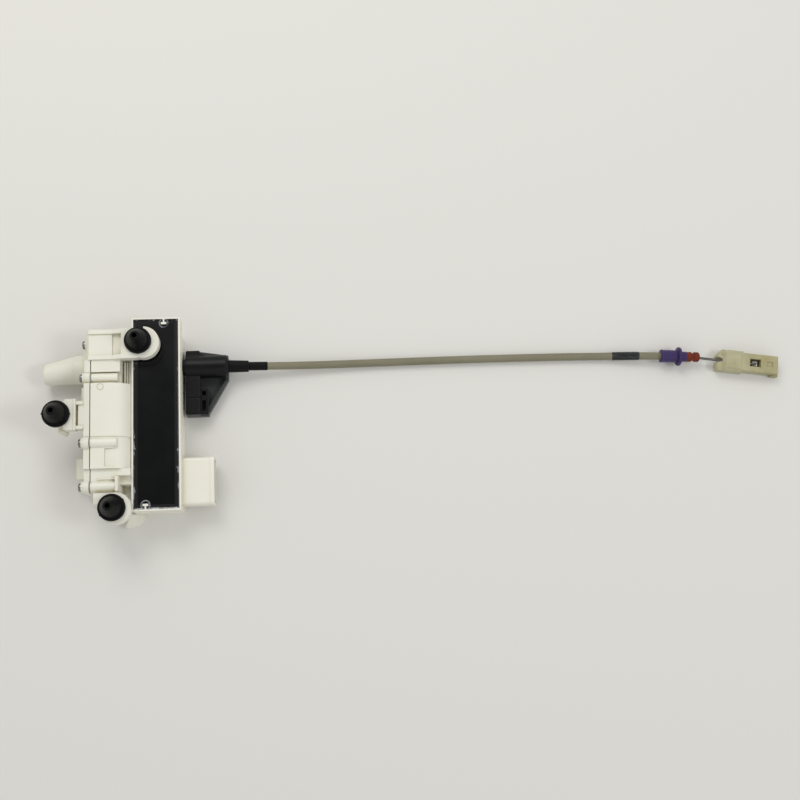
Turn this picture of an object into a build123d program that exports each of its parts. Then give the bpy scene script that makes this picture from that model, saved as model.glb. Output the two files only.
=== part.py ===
from build123d import *
from math import acos, cos, pi, radians, sin, tan
import os

# Power closing drive for a vehicle latch, lying on its back: a motor turns a worm, the worm
# wheel is the nut of a lead screw, and the screw pulls the core of a Bowden cable.
# Millimetres. +X runs along the cable, +Y along the motor, +Z up from the surface it lies on.
# The origin is under the middle of the drive, without its cable.

# ---- driving dimensions -------------------------------------------------------------------

# how far a cut runs past the faces it opens
over = 1.0
# how near to a station an edge must lie to be picked there
pick = 0.1

# pull axis: the screw, the conical tube and the cable bracket share it
axis_y = 37.5
axis_z = 9.7

# gearing
module = 0.9
wheel_teeth = 15
worm_pitch_r = 3.6
pressure_angle = 20.0
addendum = 0.72
tip_gap = 0.2
backlash = 0.22
wheel_width = 6.0
journal_x0 = -24.0
journal_x1 = -5.4
worm_turns = 5
worm_end = 0.8
thread_bite = 0.1
screw_r = 3.0
screw_room = 0.6
screw_tip = 0.6
screw_lead = 3.0
stroke = 9.0
running_gap = 0.05
guide_gap = 0.1

# motor
motor_x = -14.0
motor_r = 12.2
motor_front_y = 22.4
motor_len = 31.8
motor_wall = 0.8
motor_boss_r = 4.0
motor_boss_len = 2.0
motor_front_wall = 1.2
shaft_end_gap = 0.5
shaft_r = 1.15
magnet_thick = 2.6
magnet_gap = 5.0
armature_slots = 5
armature_slot_r = 1.6
magnet_setback = 4.0
armature_setback = 1.0
winding_gap = 0.8
brush_w = 2.4
brush_gap = 0.05
air_gap = 0.5

# moulded housing
seam_x = -25.0
gasket_thick = 0.6
gasket_inset = 1.4
gasket_width = 1.6
gasket_lobe_inset = 0.3
housing_right_x = -0.4
barrel_r = 14.6
barrel_y0 = -11.2
barrel_y1 = 23.6
tail_r = 14.2
tail_y0 = -31.8
toe_r = 12.2
toe_y0 = -46.9
gear_y1 = 58.7
gear_deck_x = -6.7
gear_deck_z = 33.0
gear_shelf_y = 30.9
gear_shelf_z = 28.6
gear_low_z = 26.6
recess_z = 20.0
recess_rib = 1.2
recess_ribs = 3
recess_rib_z = 22.6
motor_cradle_gap = 0.2
chamber_gap = 0.4
ejector_at = (-18.9, 20.9)
ejector_ring = (2.2, 1.8)
ejector_deep = 0.3
tail_pocket = (-16.2, -7.8, -30.4, -18.9)
pocket_deep = 1.0
pocket_corner = 0.6
worm_y1 = 46.5
end_bush_len = 3.0
end_bush_r = 3.4
wheel_bush_len = 3.4
wheel_bush_r = 6.2
wheel_bush_x0 = -8.4
lid_boss_wall = 0.4
lid_bush_x0 = -24.4
guide_x0 = -4.4
guide_x1 = 14.2
crosshead_w = 11.0
crosshead_h = 8.0
crosshead_corner = 1.0

# guide box on the right of the gears
guide_y0 = 20.2
guide_y1 = 58.0
guide_top_z = 16.0

# lid
flange_thick = 3.7
dome_x = -31.6
dome_corner = 2.0
motor_dome = (-6.0, 22.0, 9.0, 29.5)
gear_dome = (22.0, 54.0, 2.5, 23.5)
foot_strip_x = -37.5
foot_strip_y0 = -36.0
foot_strip_y1 = -22.5
foot_strip_z0 = 9.5
foot_strip_z1 = 14.5
collar_x = -38.9
collar_r = 9.7
tube_root_r = 9.4
tube_tip_r = 6.8
tube_tip_x = -59.3
tube_tip_shift = -2.7
tube_bore_r = 3.5
tube_end_wall = 2.6
tube_tip_fillet = 1.2

# lid screws, axes along X
upper_screw_ys = (51.4, 27.5, -15.2, -43.2)
gear_screw_zs = (22.4, 30.4)
barrel_screw_in = 1.45
tail_screw_in = 2.65
lower_screw_ys = (54.2, 18.8, -14.0, -42.1)
lower_gear_screw_z = 4.5
lower_step_screw_out = 0.95
lower_barrel_screw_out = 0.25
lower_tail_screw_in = 0.75
lobe_r = 4.1
boss_r = 3.2
boss_x1 = -8.2
toe_collar = 2.4
toe_collar_edge = 0.5
toe_collar_corner = 1.0
toe_rib_x0 = -21.0
toe_rib_gap = 1.2
toe_rib_w = 0.8
toe_collar_rise = 6.4
toe_rib_z = 33.0
toe_deck_y = -36.3
toe_deck_z = 31.4
toe_low_x = -7.4
toe_low_y = -41.6
toe_low_z = 26.5
toe_floor_z = 14.0
screw_shank_r = 1.25
screw_head_r = 2.7
screw_head_h = 1.9
screw_seat_x = -30.6
screw_len = 17.0
screw_hole_gap = 0.3
screw_head_gap = 0.4
screw_pilot_rest = 1.5
screw_crown = 1.0
screw_seat_inset = 0.5

# mounting plates that carry the rubber plugs
plate_z0 = 29.2
plate_z1 = 36.2
arm_top_z = 34.2
arm_base_z = 27.4
seat_r = 4.0
rib_height = 1.0
hollow_z = 32.2

# rubber plugs
plug_flange_r = 8.6
plug_rim_h = 1.2
plug_rim_groove = 0.5
plug_flange_h = 2.8
plug_foot_r = 6.6
plug_foot_h = 1.5
plug_foot_room = 0.3
plug_step_r = 7.0
plug_land_r = 6.4
plug_land_h = 3.0
plug_tip_r = 3.1
plug_edge = 0.5
plug_bevel = 0.8
plug_land_rise = 1.0
plug_height = 15.4
plug_hole_r = 1.6
plug_hole_depth = 8.0
plug_nub_r = 0.7
plug_nub_out = 0.35
plug_top_at = (5.2, 50.2)
plug_left_at = (-46.0, 3.6)
plug_bottom_at = (-11.0, -57.0)
plug_top_slot = 90.0
plug_left_slot = 180.0
plug_bottom_slot = 215.0
mouth_part = 0.84
mouth_reach = 18.0

# top mount
top_block_x0 = -26.7
top_block_x1 = -11.6
top_ramp_x = -5.6
top_rib_w = 2.9
top_y0 = 38.9
top_y1 = 58.7
top_eye_at = (8.2, 49.3)
top_eye_r = 10.4

# left mount
left_plate_x1 = -33.9
left_plate_y0 = -6.9
left_plate_y1 = 13.2
left_eye_r = 7.9
left_rib = 2.2
left_rib_ins = (1.8, 2.5)
left_rib_drop = 0.5
left_plate_in = 4.0
left_plate_corner = 2.0
arm_web = 5.4
arm_gap = 1.3
arm_gap_web = 2.4
plate_lip_w = 1.4
plate_lip_h = 0.5
locator_at = (-43.8, -6.0)
locator_r = 2.4
locator_z = 19.0

# bottom mount
bottom_eye_at = (-9.1, -57.4)
bottom_eye_r = 10.0
bottom_block_x0 = -22.5
bottom_gusset = 9.0
bottom_gusset_in = 1.0
bottom_gusset_drop = 4.0
bottom_plate_in = 2.6
bottom_plate_gap = 0.7

# electronics tray
tray_x1 = 30.9
tray_corner = 0.8
tray_y0 = -59.1
tray_y1 = 67.9
tray_wall = 1.1
tray_rim_z = 27.0
tray_floor = 1.6
tray_step_y = 20.0
deep_part = 20.0
potting_drop = 0.5
board_z = 8.0
board_thick = 1.6
board_gap = 0.3
board_stake_gap = 1.8
stake_head = 3.6
stake_depth = 1.5
stake_stem = 1.0
stake_top_at = (20.4, 64.0)
stake_bottom_at = (8.4, -55.2)
lug_r = 8.8
lug_z1 = 6.0
lug_at = (-4.3, -59.1)
lug_start = -112
lug_sweep = 112
post_r = 1.8
post_inset = 3.2
post_inset_y = 7.2
relay_size = (15.5, 19.0, 15.2)
relay_edge = 0.6
relay_places = ((10.5, -32.0), (10.5, -8.0))

# connector shroud on the tray
plug_in_x1 = 51.4
shroud_y0 = -55.8
shroud_y1 = -24.3
shroud_z0 = 4.8
shroud_z1 = 20.4
shroud_wall = 1.5
shroud_corner = 2.2
shroud_step = 0.2
mouth_corner = 0.6
shroud_back = 2.6
shroud_lip = 2.7
pin_size = 0.64
pin_pitch = 3.0
pin_count = 8
pin_row_z = (10.9, 14.7)
pin_reach = 8.0
pin_leg_in = 2.5
pin_leg_under = 1.2

# cable bracket
bracket_x0 = 32.9
bracket_block_x1 = 42.2
bracket_x1 = 61.0
bracket_y0 = 4.7
bracket_y1 = 48.3
bracket_top_z = 13.4
bracket_floor_z = 1.6
bracket_web_z = 8.0
bracket_toe_y = 28.9
bracket_toe_rise = 1.6
bracket_flank_in = 0.3
bracket_flank_drop = 3.0
bracket_corner = 0.8
bracket_clip_x1 = 47.6
bracket_clip_y0 = 5.1
bracket_clip_y1 = 22.6
bracket_clip_bars = (1.0, 1.6)
bracket_clip_windows = ((7.4, 14.8), (17.8, 21.0))
bracket_clip_z = 11.0
bracket_web = 2.2
bracket_edge = 3.4
bracket_edge_drop = 1.6
bracket_ridge_w = 1.2
bracket_ridge_h = 0.9
bracket_ridge_y1 = 29.6
bracket_groove_y = 16.2
bracket_groove_w = 0.9
bracket_groove_h = 0.7
bracket_end_round = 1.4
bracket_end_deg = 38.0
bracket_wall = 1.8
bracket_cyl_r = 7.7
spigot_r = 5.5
spigot_len = 6.0
core_r = 0.75
core_bore_r = 1.5
core_x1 = 50.0
core_room_x1 = 55.0
nipple_r = 1.9
nipple_h = 6.0
nipple_wall = 1.2
screw_x0 = -46.0
screw_x1 = 5.0
crosshead_x1 = 13.0
journal_r = 4.4
commutator_r = 3.6
commutator_len = 5.0
motor_bush_r = 2.4
end_cap_len = 3.0

# Bowden cable
conduit_r = 2.65
cable_drop_deg = 5.5
relief_root_r = 4.2
relief_tip_r = 3.85
relief_len = 15.5
relief_seat = 2.0
relief_edge = 0.6
straight_x1 = 82.0
cover_box = 40.0
sleeve_r = 2.9
sleeve_x1 = 86.9
band_r = 2.9
band_x0 = 325.0
band_x1 = 344.0
conduit_seat = 4.0

# far end of the cable
ferrule_angle = -3.5
ferrule_at = (358.5, 37.3, 6.6)
ferrule_barrel_r = 4.3
ferrule_barrel_len = 11.9
ferrule_flange_r = 6.5
ferrule_flange_len = 2.0
ferrule_cuff_r = 4.55
ferrule_cuff_len = 1.2
ferrule_edge = 0.4
ferrule_nose_r = 3.5
ferrule_nose_len = 4.2
ferrule_seat = 7.8
wire_bore_r = 1.9
seal_r = 3.4
seal_groove_r = 2.7
seal_groove_len = 1.0
seal_slope = 0.6
seal_edge = 0.8
seal_len = 9.3
wire_r = 0.85
wire_angle = -8.0
wire_cross = 7.0
wire_back = 9.6
fitting_gap = 13.1
fitting_z0 = 0.5
fitting_z1 = 9.6
fitting_tail_z = 8.7
fitting_shoulder_z = 7.2
fitting_slope_deg = 42.0
fitting_wide = 15.0
fitting_narrow = 12.4
fitting_head_len = 18.3
fitting_len = 42.8
fitting_wire_in = 28.0
fitting_wing = 3.5
fitting_wing_v = 3.1
fitting_wing_corner = 0.8
fitting_notch = 3.8
fitting_notch_w = 1.8
fitting_notch_mouth = 4.0
fitting_window_u0 = 22.9
fitting_window_u1 = 30.7
fitting_window_w = 5.4
fitting_dent = (35.0, 39.4, 3.6, 0.5)
fitting_foot = (39.8, 44.4, -7.4, -2.6)
fitting_foot_z = 4.5
clip_z0 = 3.4
clip_z1 = 7.2
clip_w = 4.2
clip_gap = 0.6

# ---- worked out from them -----------------------------------------------------------------

wheel_pitch_r = module * wheel_teeth / 2
centre_distance = wheel_pitch_r + worm_pitch_r
motor_z = axis_z + centre_distance
wheel_tip_r = wheel_pitch_r + addendum
wheel_root_r = centre_distance - worm_pitch_r - addendum - tip_gap
worm_tip_r = worm_pitch_r + addendum
worm_root_r = centre_distance - wheel_tip_r - tip_gap
tooth_pitch = pi * module
lead_tan = tooth_pitch / (2 * pi * worm_pitch_r)
lid_face_x = seam_x - gasket_thick
lid_boss_x1 = lid_bush_x0 + wheel_bush_len
wheel_room_r = wheel_tip_r + chamber_gap
flange_x = lid_face_x - flange_thick
barrel_top_z = motor_z + barrel_r
barrel_base_z = motor_z - barrel_r


def along_x(x):
    """Plane across the X axis: local x is +Y, local y is +Z, extrusions run to +X."""
    return Plane.YZ.offset(x)


def along_y(y):
    """Plane across the Y axis: local x is +X, local y is +Z, extrusions run to -Y."""
    return Plane(origin=(0, y, 0), x_dir=(1, 0, 0), z_dir=(0, -1, 0))


def rect(plane, u0, u1, v0, v1, corner=0.0):
    """Rectangle between two corners on a plane, with optional round corners."""
    with BuildSketch(plane) as profile:
        with Locations(((u0 + u1) / 2, (v0 + v1) / 2)):
            if corner:
                RectangleRounded(u1 - u0, v1 - v0, corner)
            else:
                Rectangle(u1 - u0, v1 - v0)
    return profile.sketch


def disc(plane, u, v, radius, bore=0.0):
    """Disc or ring at a place on a plane."""
    with BuildSketch(plane) as profile:
        with Locations((u, v)):
            Circle(radius)
            if bore:
                Circle(bore, mode=Mode.SUBTRACT)
    return profile.sketch


def barrel_section(plane, radius):
    """Section of the motor barrel: round on the right, square towards the lid."""
    with BuildSketch(plane) as profile:
        with Locations((motor_x, motor_z)):
            Circle(radius)
        with Locations(((seam_x + motor_x) / 2, motor_z)):
            Rectangle(motor_x - seam_x, 2 * radius)
        with Locations(((seam_x + motor_x + radius) / 2, motor_z)):
            Rectangle(motor_x + radius - seam_x, 2 * radius, mode=Mode.INTERSECT)
    return profile.sketch


def inset_corners(corners, inset):
    """Corners of a square-cornered outline, run anticlockwise, moved inwards."""
    moved = []
    for before, here, after in zip(corners[-1:] + corners[:-1], corners, corners[1:] + corners[:1]):
        into = Vector(before[1] - here[1], here[0] - before[0]).normalized()
        into += Vector(here[1] - after[1], after[0] - here[0]).normalized()
        moved.append((here[0] + inset * into.X, here[1] + inset * into.Y))
    return moved


def seam_outline(plane, inset=0.0, lobes=True):
    """Outline of the joint between housing and lid, seen along X."""
    tail_z = (motor_z - tail_r, motor_z + tail_r)
    toe_z = (motor_z - toe_r, motor_z + toe_r)
    corners = [
        (gear_y1, 0),
        (gear_y1, gear_low_z),
        (top_y0, gear_low_z),
        (top_y0, gear_deck_z),
        (gear_shelf_y, gear_deck_z),
        (gear_shelf_y, gear_shelf_z),
        (barrel_y1, gear_shelf_z),
        (barrel_y1, barrel_top_z),
        (barrel_y0, barrel_top_z),
        (barrel_y0, tail_z[1]),
        (tail_y0, tail_z[1]),
        (tail_y0, toe_z[1]),
        (toe_y0, toe_z[1]),
        (toe_y0, toe_z[0]),
        (tail_y0, toe_z[0]),
        (tail_y0, tail_z[0]),
        (barrel_y0, tail_z[0]),
        (barrel_y0, barrel_base_z),
        (barrel_y1, barrel_base_z),
        (barrel_y1, 0),
    ]
    with BuildSketch(plane) as profile:
        with BuildLine():
            Polyline(*inset_corners(corners, inset), close=True)
        make_face()
        if lobes:
            with Locations(*screw_places):
                Circle(lobe_r - inset / 2)
    return profile.sketch


def open_seat(plane, seat, slot_angle):
    """The seat with its mouth: the mouth is a little narrower than the seat."""
    with BuildSketch(plane) as profile:
        with Locations(seat):
            Circle(seat_r)
        with Locations(Location((seat[0], seat[1], 0), slot_angle)):
            with Locations((mouth_reach / 2, 0)):
                Rectangle(mouth_reach, 2 * seat_r * mouth_part)
    return profile.sketch


upper_screw_zs = (
    *gear_screw_zs,
    barrel_top_z - barrel_screw_in,
    motor_z + tail_r - tail_screw_in,
)
lower_screw_zs = (
    lower_gear_screw_z,
    barrel_base_z - lower_step_screw_out,
    barrel_base_z - lower_barrel_screw_out,
    motor_z - tail_r + lower_tail_screw_in,
)
upper_screws = tuple(zip(upper_screw_ys, upper_screw_zs))
screw_places = upper_screws + tuple(zip(lower_screw_ys, lower_screw_zs))

# ---- gear housing -------------------------------------------------------------------------

with BuildPart() as gear_housing:
    extrude(barrel_section(along_y(barrel_y1), barrel_r), amount=barrel_y1 - barrel_y0)
    extrude(barrel_section(along_y(barrel_y0), tail_r), amount=barrel_y0 - tail_y0)
    extrude(barrel_section(along_y(tail_y0), toe_r), amount=tail_y0 - toe_y0)
    # gear case: low floor on the surface, a deck over the worm, a ribbed recess beside it
    extrude(rect(Plane.XY, seam_x, housing_right_x, barrel_y1, gear_y1), amount=recess_z)
    for y0, y1, z in ((barrel_y1, gear_shelf_y, gear_shelf_z), (gear_shelf_y, top_y0, gear_deck_z),
                      (top_y0, gear_y1, gear_low_z)):
        deck = rect(Plane.XY.offset(recess_z), seam_x, gear_deck_x, y0, y1)
        extrude(deck, amount=z - recess_z)
    for rib in range(recess_ribs):
        rib_x = gear_deck_x + (rib + 1) * (housing_right_x - gear_deck_x) / (recess_ribs + 1)
        rib_profile = rect(Plane.XY.offset(recess_z), rib_x - recess_rib / 2,
                           rib_x + recess_rib / 2, barrel_y1, top_y0)
        extrude(rib_profile, amount=recess_rib_z - recess_z)
    # screw bosses, run along the seam side
    for y, z in screw_places:
        extrude(disc(along_x(seam_x), y, z, boss_r), amount=boss_x1 - seam_x)
    # the toe: a collar across its last boss, a rib beside it, a deck and a low step
    collar_y, collar_z = upper_screws[-1]
    extrude(rect(along_x(boss_x1 - toe_collar / 2), collar_y - boss_r - toe_collar_edge,
                 collar_y + toe_collar_rise, motor_z, collar_z + boss_r + toe_collar_edge,
                 toe_collar_corner), amount=toe_collar)
    rib_y0 = collar_y + boss_r + toe_rib_gap
    extrude(rect(Plane.XY.offset(motor_z), toe_rib_x0, boss_x1, rib_y0, rib_y0 + toe_rib_w),
            amount=toe_rib_z - motor_z)
    extrude(rect(Plane.XY.offset(motor_z), motor_x, housing_right_x, toe_deck_y, tail_y0),
            amount=toe_deck_z - motor_z)
    extrude(rect(Plane.XY.offset(toe_floor_z), toe_low_x, motor_x + barrel_r, toe_y0 - over,
                 toe_deck_y), amount=toe_r + motor_z, mode=Mode.SUBTRACT)
    extrude(rect(Plane.XY.offset(toe_floor_z - over), toe_low_x - over, housing_right_x,
                 toe_low_y, toe_deck_y), amount=toe_low_z - toe_floor_z + over)
    split(bisect_by=Plane.YZ.offset(housing_right_x), keep=Keep.BOTTOM)
    # guide box for the screw's crosshead
    extrude(rect(Plane.XY, housing_right_x, tray_x1, guide_y0, guide_y1), amount=guide_top_z)
    # top mount: block, ramp and plate in one side profile
    with BuildSketch(along_y(top_y1)):
        with BuildLine():
            Polyline(
                (top_block_x0, arm_base_z),
                (top_block_x0, arm_top_z),
                (top_block_x1, arm_top_z),
                (top_ramp_x, plate_z1),
                (plug_top_at[0], plate_z1),
                (plug_top_at[0], plate_z0),
                (gear_deck_x, plate_z0),
                (gear_deck_x, gear_low_z - over),
                (seam_x, gear_low_z - over),
                (seam_x, arm_base_z),
                close=True,
            )
        make_face()
    extrude(amount=top_y1 - top_y0)
    extrude(disc(Plane.XY.offset(plate_z0), *top_eye_at, top_eye_r), amount=plate_z1 - plate_z0)
    extrude(open_seat(Plane.XY.offset(plate_z0 - over), plug_top_at, plug_top_slot),
            amount=plate_z1 - plate_z0 + 2 * over, mode=Mode.SUBTRACT)
    # web between the block's two edge ribs, and the hollow between block and plate
    for z, x0, x1 in ((arm_top_z - rib_height, top_block_x0 - over, top_block_x1),
                      (hollow_z, top_block_x1, top_ramp_x)):
        extrude(rect(Plane.XY.offset(z), x0, x1, top_y0 + top_rib_w, top_y1 - top_rib_w),
                amount=plate_z1, mode=Mode.SUBTRACT)
    # bottom mount: plate, eye and the gusset under it
    extrude(rect(Plane.XY.offset(plate_z0), bottom_block_x0, bottom_eye_at[0],
                 bottom_eye_at[1] + bottom_plate_in, toe_y0 - bottom_plate_gap),
            amount=plate_z1 - plate_z0)
    extrude(disc(Plane.XY.offset(plate_z0), *bottom_eye_at, bottom_eye_r),
            amount=plate_z1 - plate_z0)
    gusset_y = bottom_eye_at[1] + bottom_gusset_drop
    with BuildSketch(along_x(bottom_block_x0 + bottom_gusset_in)):
        with BuildLine():
            Polyline(
                (toe_y0 + over, motor_z - bottom_gusset_drop),
                (toe_y0, motor_z - bottom_gusset_drop),
                (gusset_y, plate_z0),
                (gusset_y, plate_z0 + over),
                (toe_y0 + over, plate_z0 + over),
                close=True,
            )
        make_face()
    extrude(amount=bottom_gusset)
    extrude(open_seat(Plane.XY.offset(plate_z0 - over), plug_bottom_at, plug_bottom_slot),
            amount=plate_z1 - plate_z0 + 2 * over, mode=Mode.SUBTRACT)
    extrude(disc(Plane.XY.offset(plate_z0 - plug_foot_h - plug_foot_room), *plug_bottom_at,
                 plug_foot_r + plug_foot_room), amount=plug_foot_h + plug_foot_room,
            mode=Mode.SUBTRACT)
    # ejector mark, and the pocket and step in the tail
    extrude(disc(Plane.XY.offset(barrel_top_z - ejector_deep), *ejector_at, *ejector_ring),
            amount=over, mode=Mode.SUBTRACT)
    pocket = rect(Plane.XY.offset(motor_z + tail_r - pocket_deep), *tail_pocket, pocket_corner)
    extrude(pocket, amount=pocket_deep + over, mode=Mode.SUBTRACT)
    # motor chamber, open towards the lid
    chamber_r = motor_r + motor_cradle_gap
    extrude(disc(along_y(motor_front_y), motor_x, motor_z, chamber_r),
            amount=motor_len, mode=Mode.SUBTRACT)
    extrude(rect(along_y(motor_front_y), seam_x - over, motor_x, motor_z - chamber_r,
                 motor_z + chamber_r), amount=motor_len, mode=Mode.SUBTRACT)
    extrude(disc(along_y(motor_front_y + motor_boss_len), motor_x, motor_z, motor_boss_r),
            amount=motor_boss_len, mode=Mode.SUBTRACT)
    extrude(rect(along_y(motor_front_y + motor_boss_len), seam_x - over, motor_x,
                 motor_z - motor_boss_r, motor_z + motor_boss_r),
            amount=motor_boss_len, mode=Mode.SUBTRACT)
    # worm chamber and the bush at its far end
    worm_room = worm_tip_r + chamber_gap
    extrude(disc(along_y(worm_y1), motor_x, motor_z, worm_room),
            amount=worm_y1 - motor_front_y - motor_boss_len, mode=Mode.SUBTRACT)
    extrude(rect(along_y(worm_y1), seam_x - over, motor_x, motor_z - worm_room,
                 motor_z + worm_room),
            amount=worm_y1 - motor_front_y - motor_boss_len, mode=Mode.SUBTRACT)
    extrude(disc(along_y(worm_y1 + end_bush_len), motor_x, motor_z, end_bush_r),
            amount=end_bush_len, mode=Mode.SUBTRACT)
    extrude(rect(along_y(worm_y1 + end_bush_len), seam_x - over, motor_x, motor_z - end_bush_r,
                 motor_z + end_bush_r), amount=end_bush_len, mode=Mode.SUBTRACT)
    # wheel chamber and its bush, then the way through for the screw
    extrude(disc(along_x(seam_x - over), axis_y, axis_z, wheel_room_r),
            amount=wheel_bush_x0 - seam_x + over, mode=Mode.SUBTRACT)
    extrude(disc(along_x(wheel_bush_x0), axis_y, axis_z, wheel_bush_r),
            amount=wheel_bush_len, mode=Mode.SUBTRACT)
    extrude(disc(along_x(wheel_bush_x0), axis_y, axis_z, screw_r + screw_room),
            amount=guide_x0 - wheel_bush_x0, mode=Mode.SUBTRACT)
    # crosshead guide, core passage and the bracket's spigot socket
    guide_y = crosshead_w / 2 + guide_gap
    guide_z = crosshead_h / 2 + guide_gap
    extrude(rect(along_x(guide_x0), axis_y - guide_y, axis_y + guide_y, axis_z - guide_z,
                 axis_z + guide_z), amount=guide_x1 - guide_x0, mode=Mode.SUBTRACT)
    extrude(disc(along_x(guide_x1), axis_y, axis_z, core_bore_r),
            amount=tray_x1 - guide_x1, mode=Mode.SUBTRACT)
    extrude(disc(along_x(bracket_x0 - spigot_len), axis_y, axis_z, spigot_r),
            amount=spigot_len, mode=Mode.SUBTRACT)
    # pilot holes
    for y, z in screw_places:
        extrude(disc(along_x(seam_x - over), y, z, screw_shank_r),
                amount=screw_seat_x + screw_len - seam_x + over + screw_pilot_rest,
                mode=Mode.SUBTRACT)
gear_housing.part.label = "gear_housing"

# ---- lid gasket ---------------------------------------------------------------------------

with BuildPart() as lid_gasket:
    extrude(seam_outline(along_x(lid_face_x), gasket_inset, lobes=False),
            amount=gasket_thick)
    extrude(seam_outline(along_x(lid_face_x), gasket_inset + gasket_width, lobes=False),
            amount=gasket_thick, mode=Mode.SUBTRACT)
    for y, z in screw_places:
        extrude(disc(along_x(lid_face_x), y, z, lobe_r - gasket_lobe_inset),
                amount=gasket_thick)
    for y, z in screw_places:
        extrude(disc(along_x(lid_face_x - over), y, z, screw_shank_r + screw_hole_gap),
                amount=gasket_thick + 2 * over, mode=Mode.SUBTRACT)
lid_gasket.part.label = "lid_gasket"

# ---- lid with the conical screw tube and the left arm --------------------------------------

with BuildPart() as housing_lid:
    extrude(seam_outline(along_x(flange_x)), amount=flange_thick)
    for dome in (motor_dome, gear_dome):
        extrude(rect(along_x(dome_x), *dome, dome_corner), amount=flange_x - dome_x)
    for y, z in screw_places:
        extrude(disc(along_x(screw_seat_x), y, z, lobe_r - screw_seat_inset),
                amount=flange_x - screw_seat_x)
        extrude(disc(along_x(dome_x - over), y, z, screw_head_r + screw_head_gap),
                amount=screw_seat_x - dome_x + over, mode=Mode.SUBTRACT)
    extrude(rect(along_x(foot_strip_x), foot_strip_y0, foot_strip_y1, foot_strip_z0,
                 foot_strip_z1), amount=flange_x - foot_strip_x)
    # screw tube: collar, then a cone that leans to one side
    extrude(disc(along_x(collar_x), axis_y, axis_z, collar_r), amount=flange_x - collar_x)
    with BuildSketch(along_x(collar_x)):
        with Locations((axis_y, axis_z)):
            Circle(tube_root_r)
    with BuildSketch(along_x(tube_tip_x)):
        with Locations((axis_y + tube_tip_shift, axis_z)):
            Circle(tube_tip_r)
    loft()
    tip = faces().sort_by(Axis.X)[0]
    fillet(tip.edges(), tube_tip_fillet)
    # left arm: plate with a lip and an open eye, two ribs and a stepped web between them
    left_plate_x0 = plug_left_at[0] + left_plate_in
    extrude(rect(Plane.XY.offset(plate_z0), left_plate_x0, left_plate_x1,
                 left_plate_y0, left_plate_y1), amount=plate_z1 - plate_z0)
    plate_corners = edges().filter_by(Axis.Z).filter_by_position(
        Axis.X, left_plate_x0 - pick, left_plate_x0 + pick)
    fillet(plate_corners, left_plate_corner)
    extrude(disc(Plane.XY.offset(plate_z0), *plug_left_at, left_eye_r),
            amount=plate_z1 - plate_z0)
    extrude(rect(Plane.XY.offset(plate_z1), left_plate_x1 - plate_lip_w, left_plate_x1,
                 left_plate_y0, left_plate_y1), amount=plate_lip_h)
    extrude(open_seat(Plane.XY.offset(plate_z0 - over), plug_left_at, plug_left_slot),
            amount=plate_z1 - plate_z0 + 2 * over, mode=Mode.SUBTRACT)
    arm_y0 = left_plate_y0 + left_rib_ins[0]
    arm_y1 = left_plate_y1 - left_rib_ins[1]
    for rib_y in (arm_y0, arm_y1):
        extrude(rect(Plane.XY.offset(plate_z0), left_plate_x1, flange_x, rib_y - left_rib / 2,
                     rib_y + left_rib / 2), amount=plate_z1 - plate_z0 - left_rib_drop)
    for x0, height in ((left_plate_x1, arm_gap_web), (left_plate_x1 + arm_gap, arm_web)):
        extrude(rect(Plane.XY.offset(plate_z0), x0, flange_x, arm_y0, arm_y1), amount=height)
    extrude(disc(Plane.XY.offset(locator_z), *locator_at, locator_r),
            amount=plate_z0 - locator_z)
    # inner boss that carries the wheel's left bush, and the screw's bore
    extrude(disc(along_x(lid_face_x), axis_y, axis_z, wheel_bush_r + lid_boss_wall),
            amount=lid_boss_x1 - lid_face_x)
    extrude(disc(along_x(lid_bush_x0), axis_y, axis_z, wheel_bush_r),
            amount=wheel_bush_len, mode=Mode.SUBTRACT)
    extrude(disc(along_x(tube_tip_x + tube_end_wall), axis_y, axis_z, tube_bore_r),
            amount=lid_boss_x1 - tube_tip_x, mode=Mode.SUBTRACT)
    # hollow for the side of the motor
    extrude(disc(along_y(motor_front_y), motor_x, motor_z, motor_r + motor_cradle_gap),
            amount=motor_len, mode=Mode.SUBTRACT)
    # screw holes
    for y, z in screw_places:
        extrude(disc(along_x(screw_seat_x - over), y, z, screw_shank_r + screw_hole_gap),
                amount=lid_face_x - screw_seat_x + 2 * over, mode=Mode.SUBTRACT)
housing_lid.part.label = "housing_lid"

# ---- lid screws ---------------------------------------------------------------------------

with BuildPart() as lid_screws:
    for y, z in screw_places:
        extrude(disc(along_x(screw_seat_x - screw_head_h), y, z, screw_head_r),
                amount=screw_head_h)
        extrude(disc(along_x(screw_seat_x), y, z, screw_shank_r), amount=screw_len)
    crown = faces().filter_by(Axis.X).sort_by(Axis.X)[: len(screw_places)]
    fillet(crown.edges(), screw_crown)
lid_screws.part.label = "lid_screws"

# ---- connector pins -----------------------------------------------------------------------

pin_y0 = (shroud_y0 + shroud_y1) / 2 - pin_pitch * (pin_count - 1) / 2
pin_x1 = tray_x1 + shroud_back + pin_reach

with BuildPart() as connector_pins:
    for row, z in enumerate(pin_row_z):
        leg_x = tray_x1 - tray_wall - pin_leg_in * (row + 1)
        for k in range(pin_count):
            with BuildSketch(along_y(pin_y0 + k * pin_pitch + pin_size / 2)):
                with BuildLine():
                    Polyline(
                        (leg_x, board_z - pin_leg_under),
                        (leg_x + pin_size, board_z - pin_leg_under),
                        (leg_x + pin_size, z - pin_size / 2),
                        (pin_x1 - pin_size, z - pin_size / 2),
                        (pin_x1, z - pin_size / 4),
                        (pin_x1, z + pin_size / 4),
                        (pin_x1 - pin_size, z + pin_size / 2),
                        (leg_x, z + pin_size / 2),
                        close=True,
                    )
                make_face()
            extrude(amount=pin_size)
connector_pins.part.label = "connector_pins"

# ---- circuit board and its relays ---------------------------------------------------------

well_x0 = housing_right_x + tray_wall
well_x1 = tray_x1 - tray_wall
well_y0 = tray_y0 + tray_wall
well_y1 = tray_step_y - tray_wall

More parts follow.
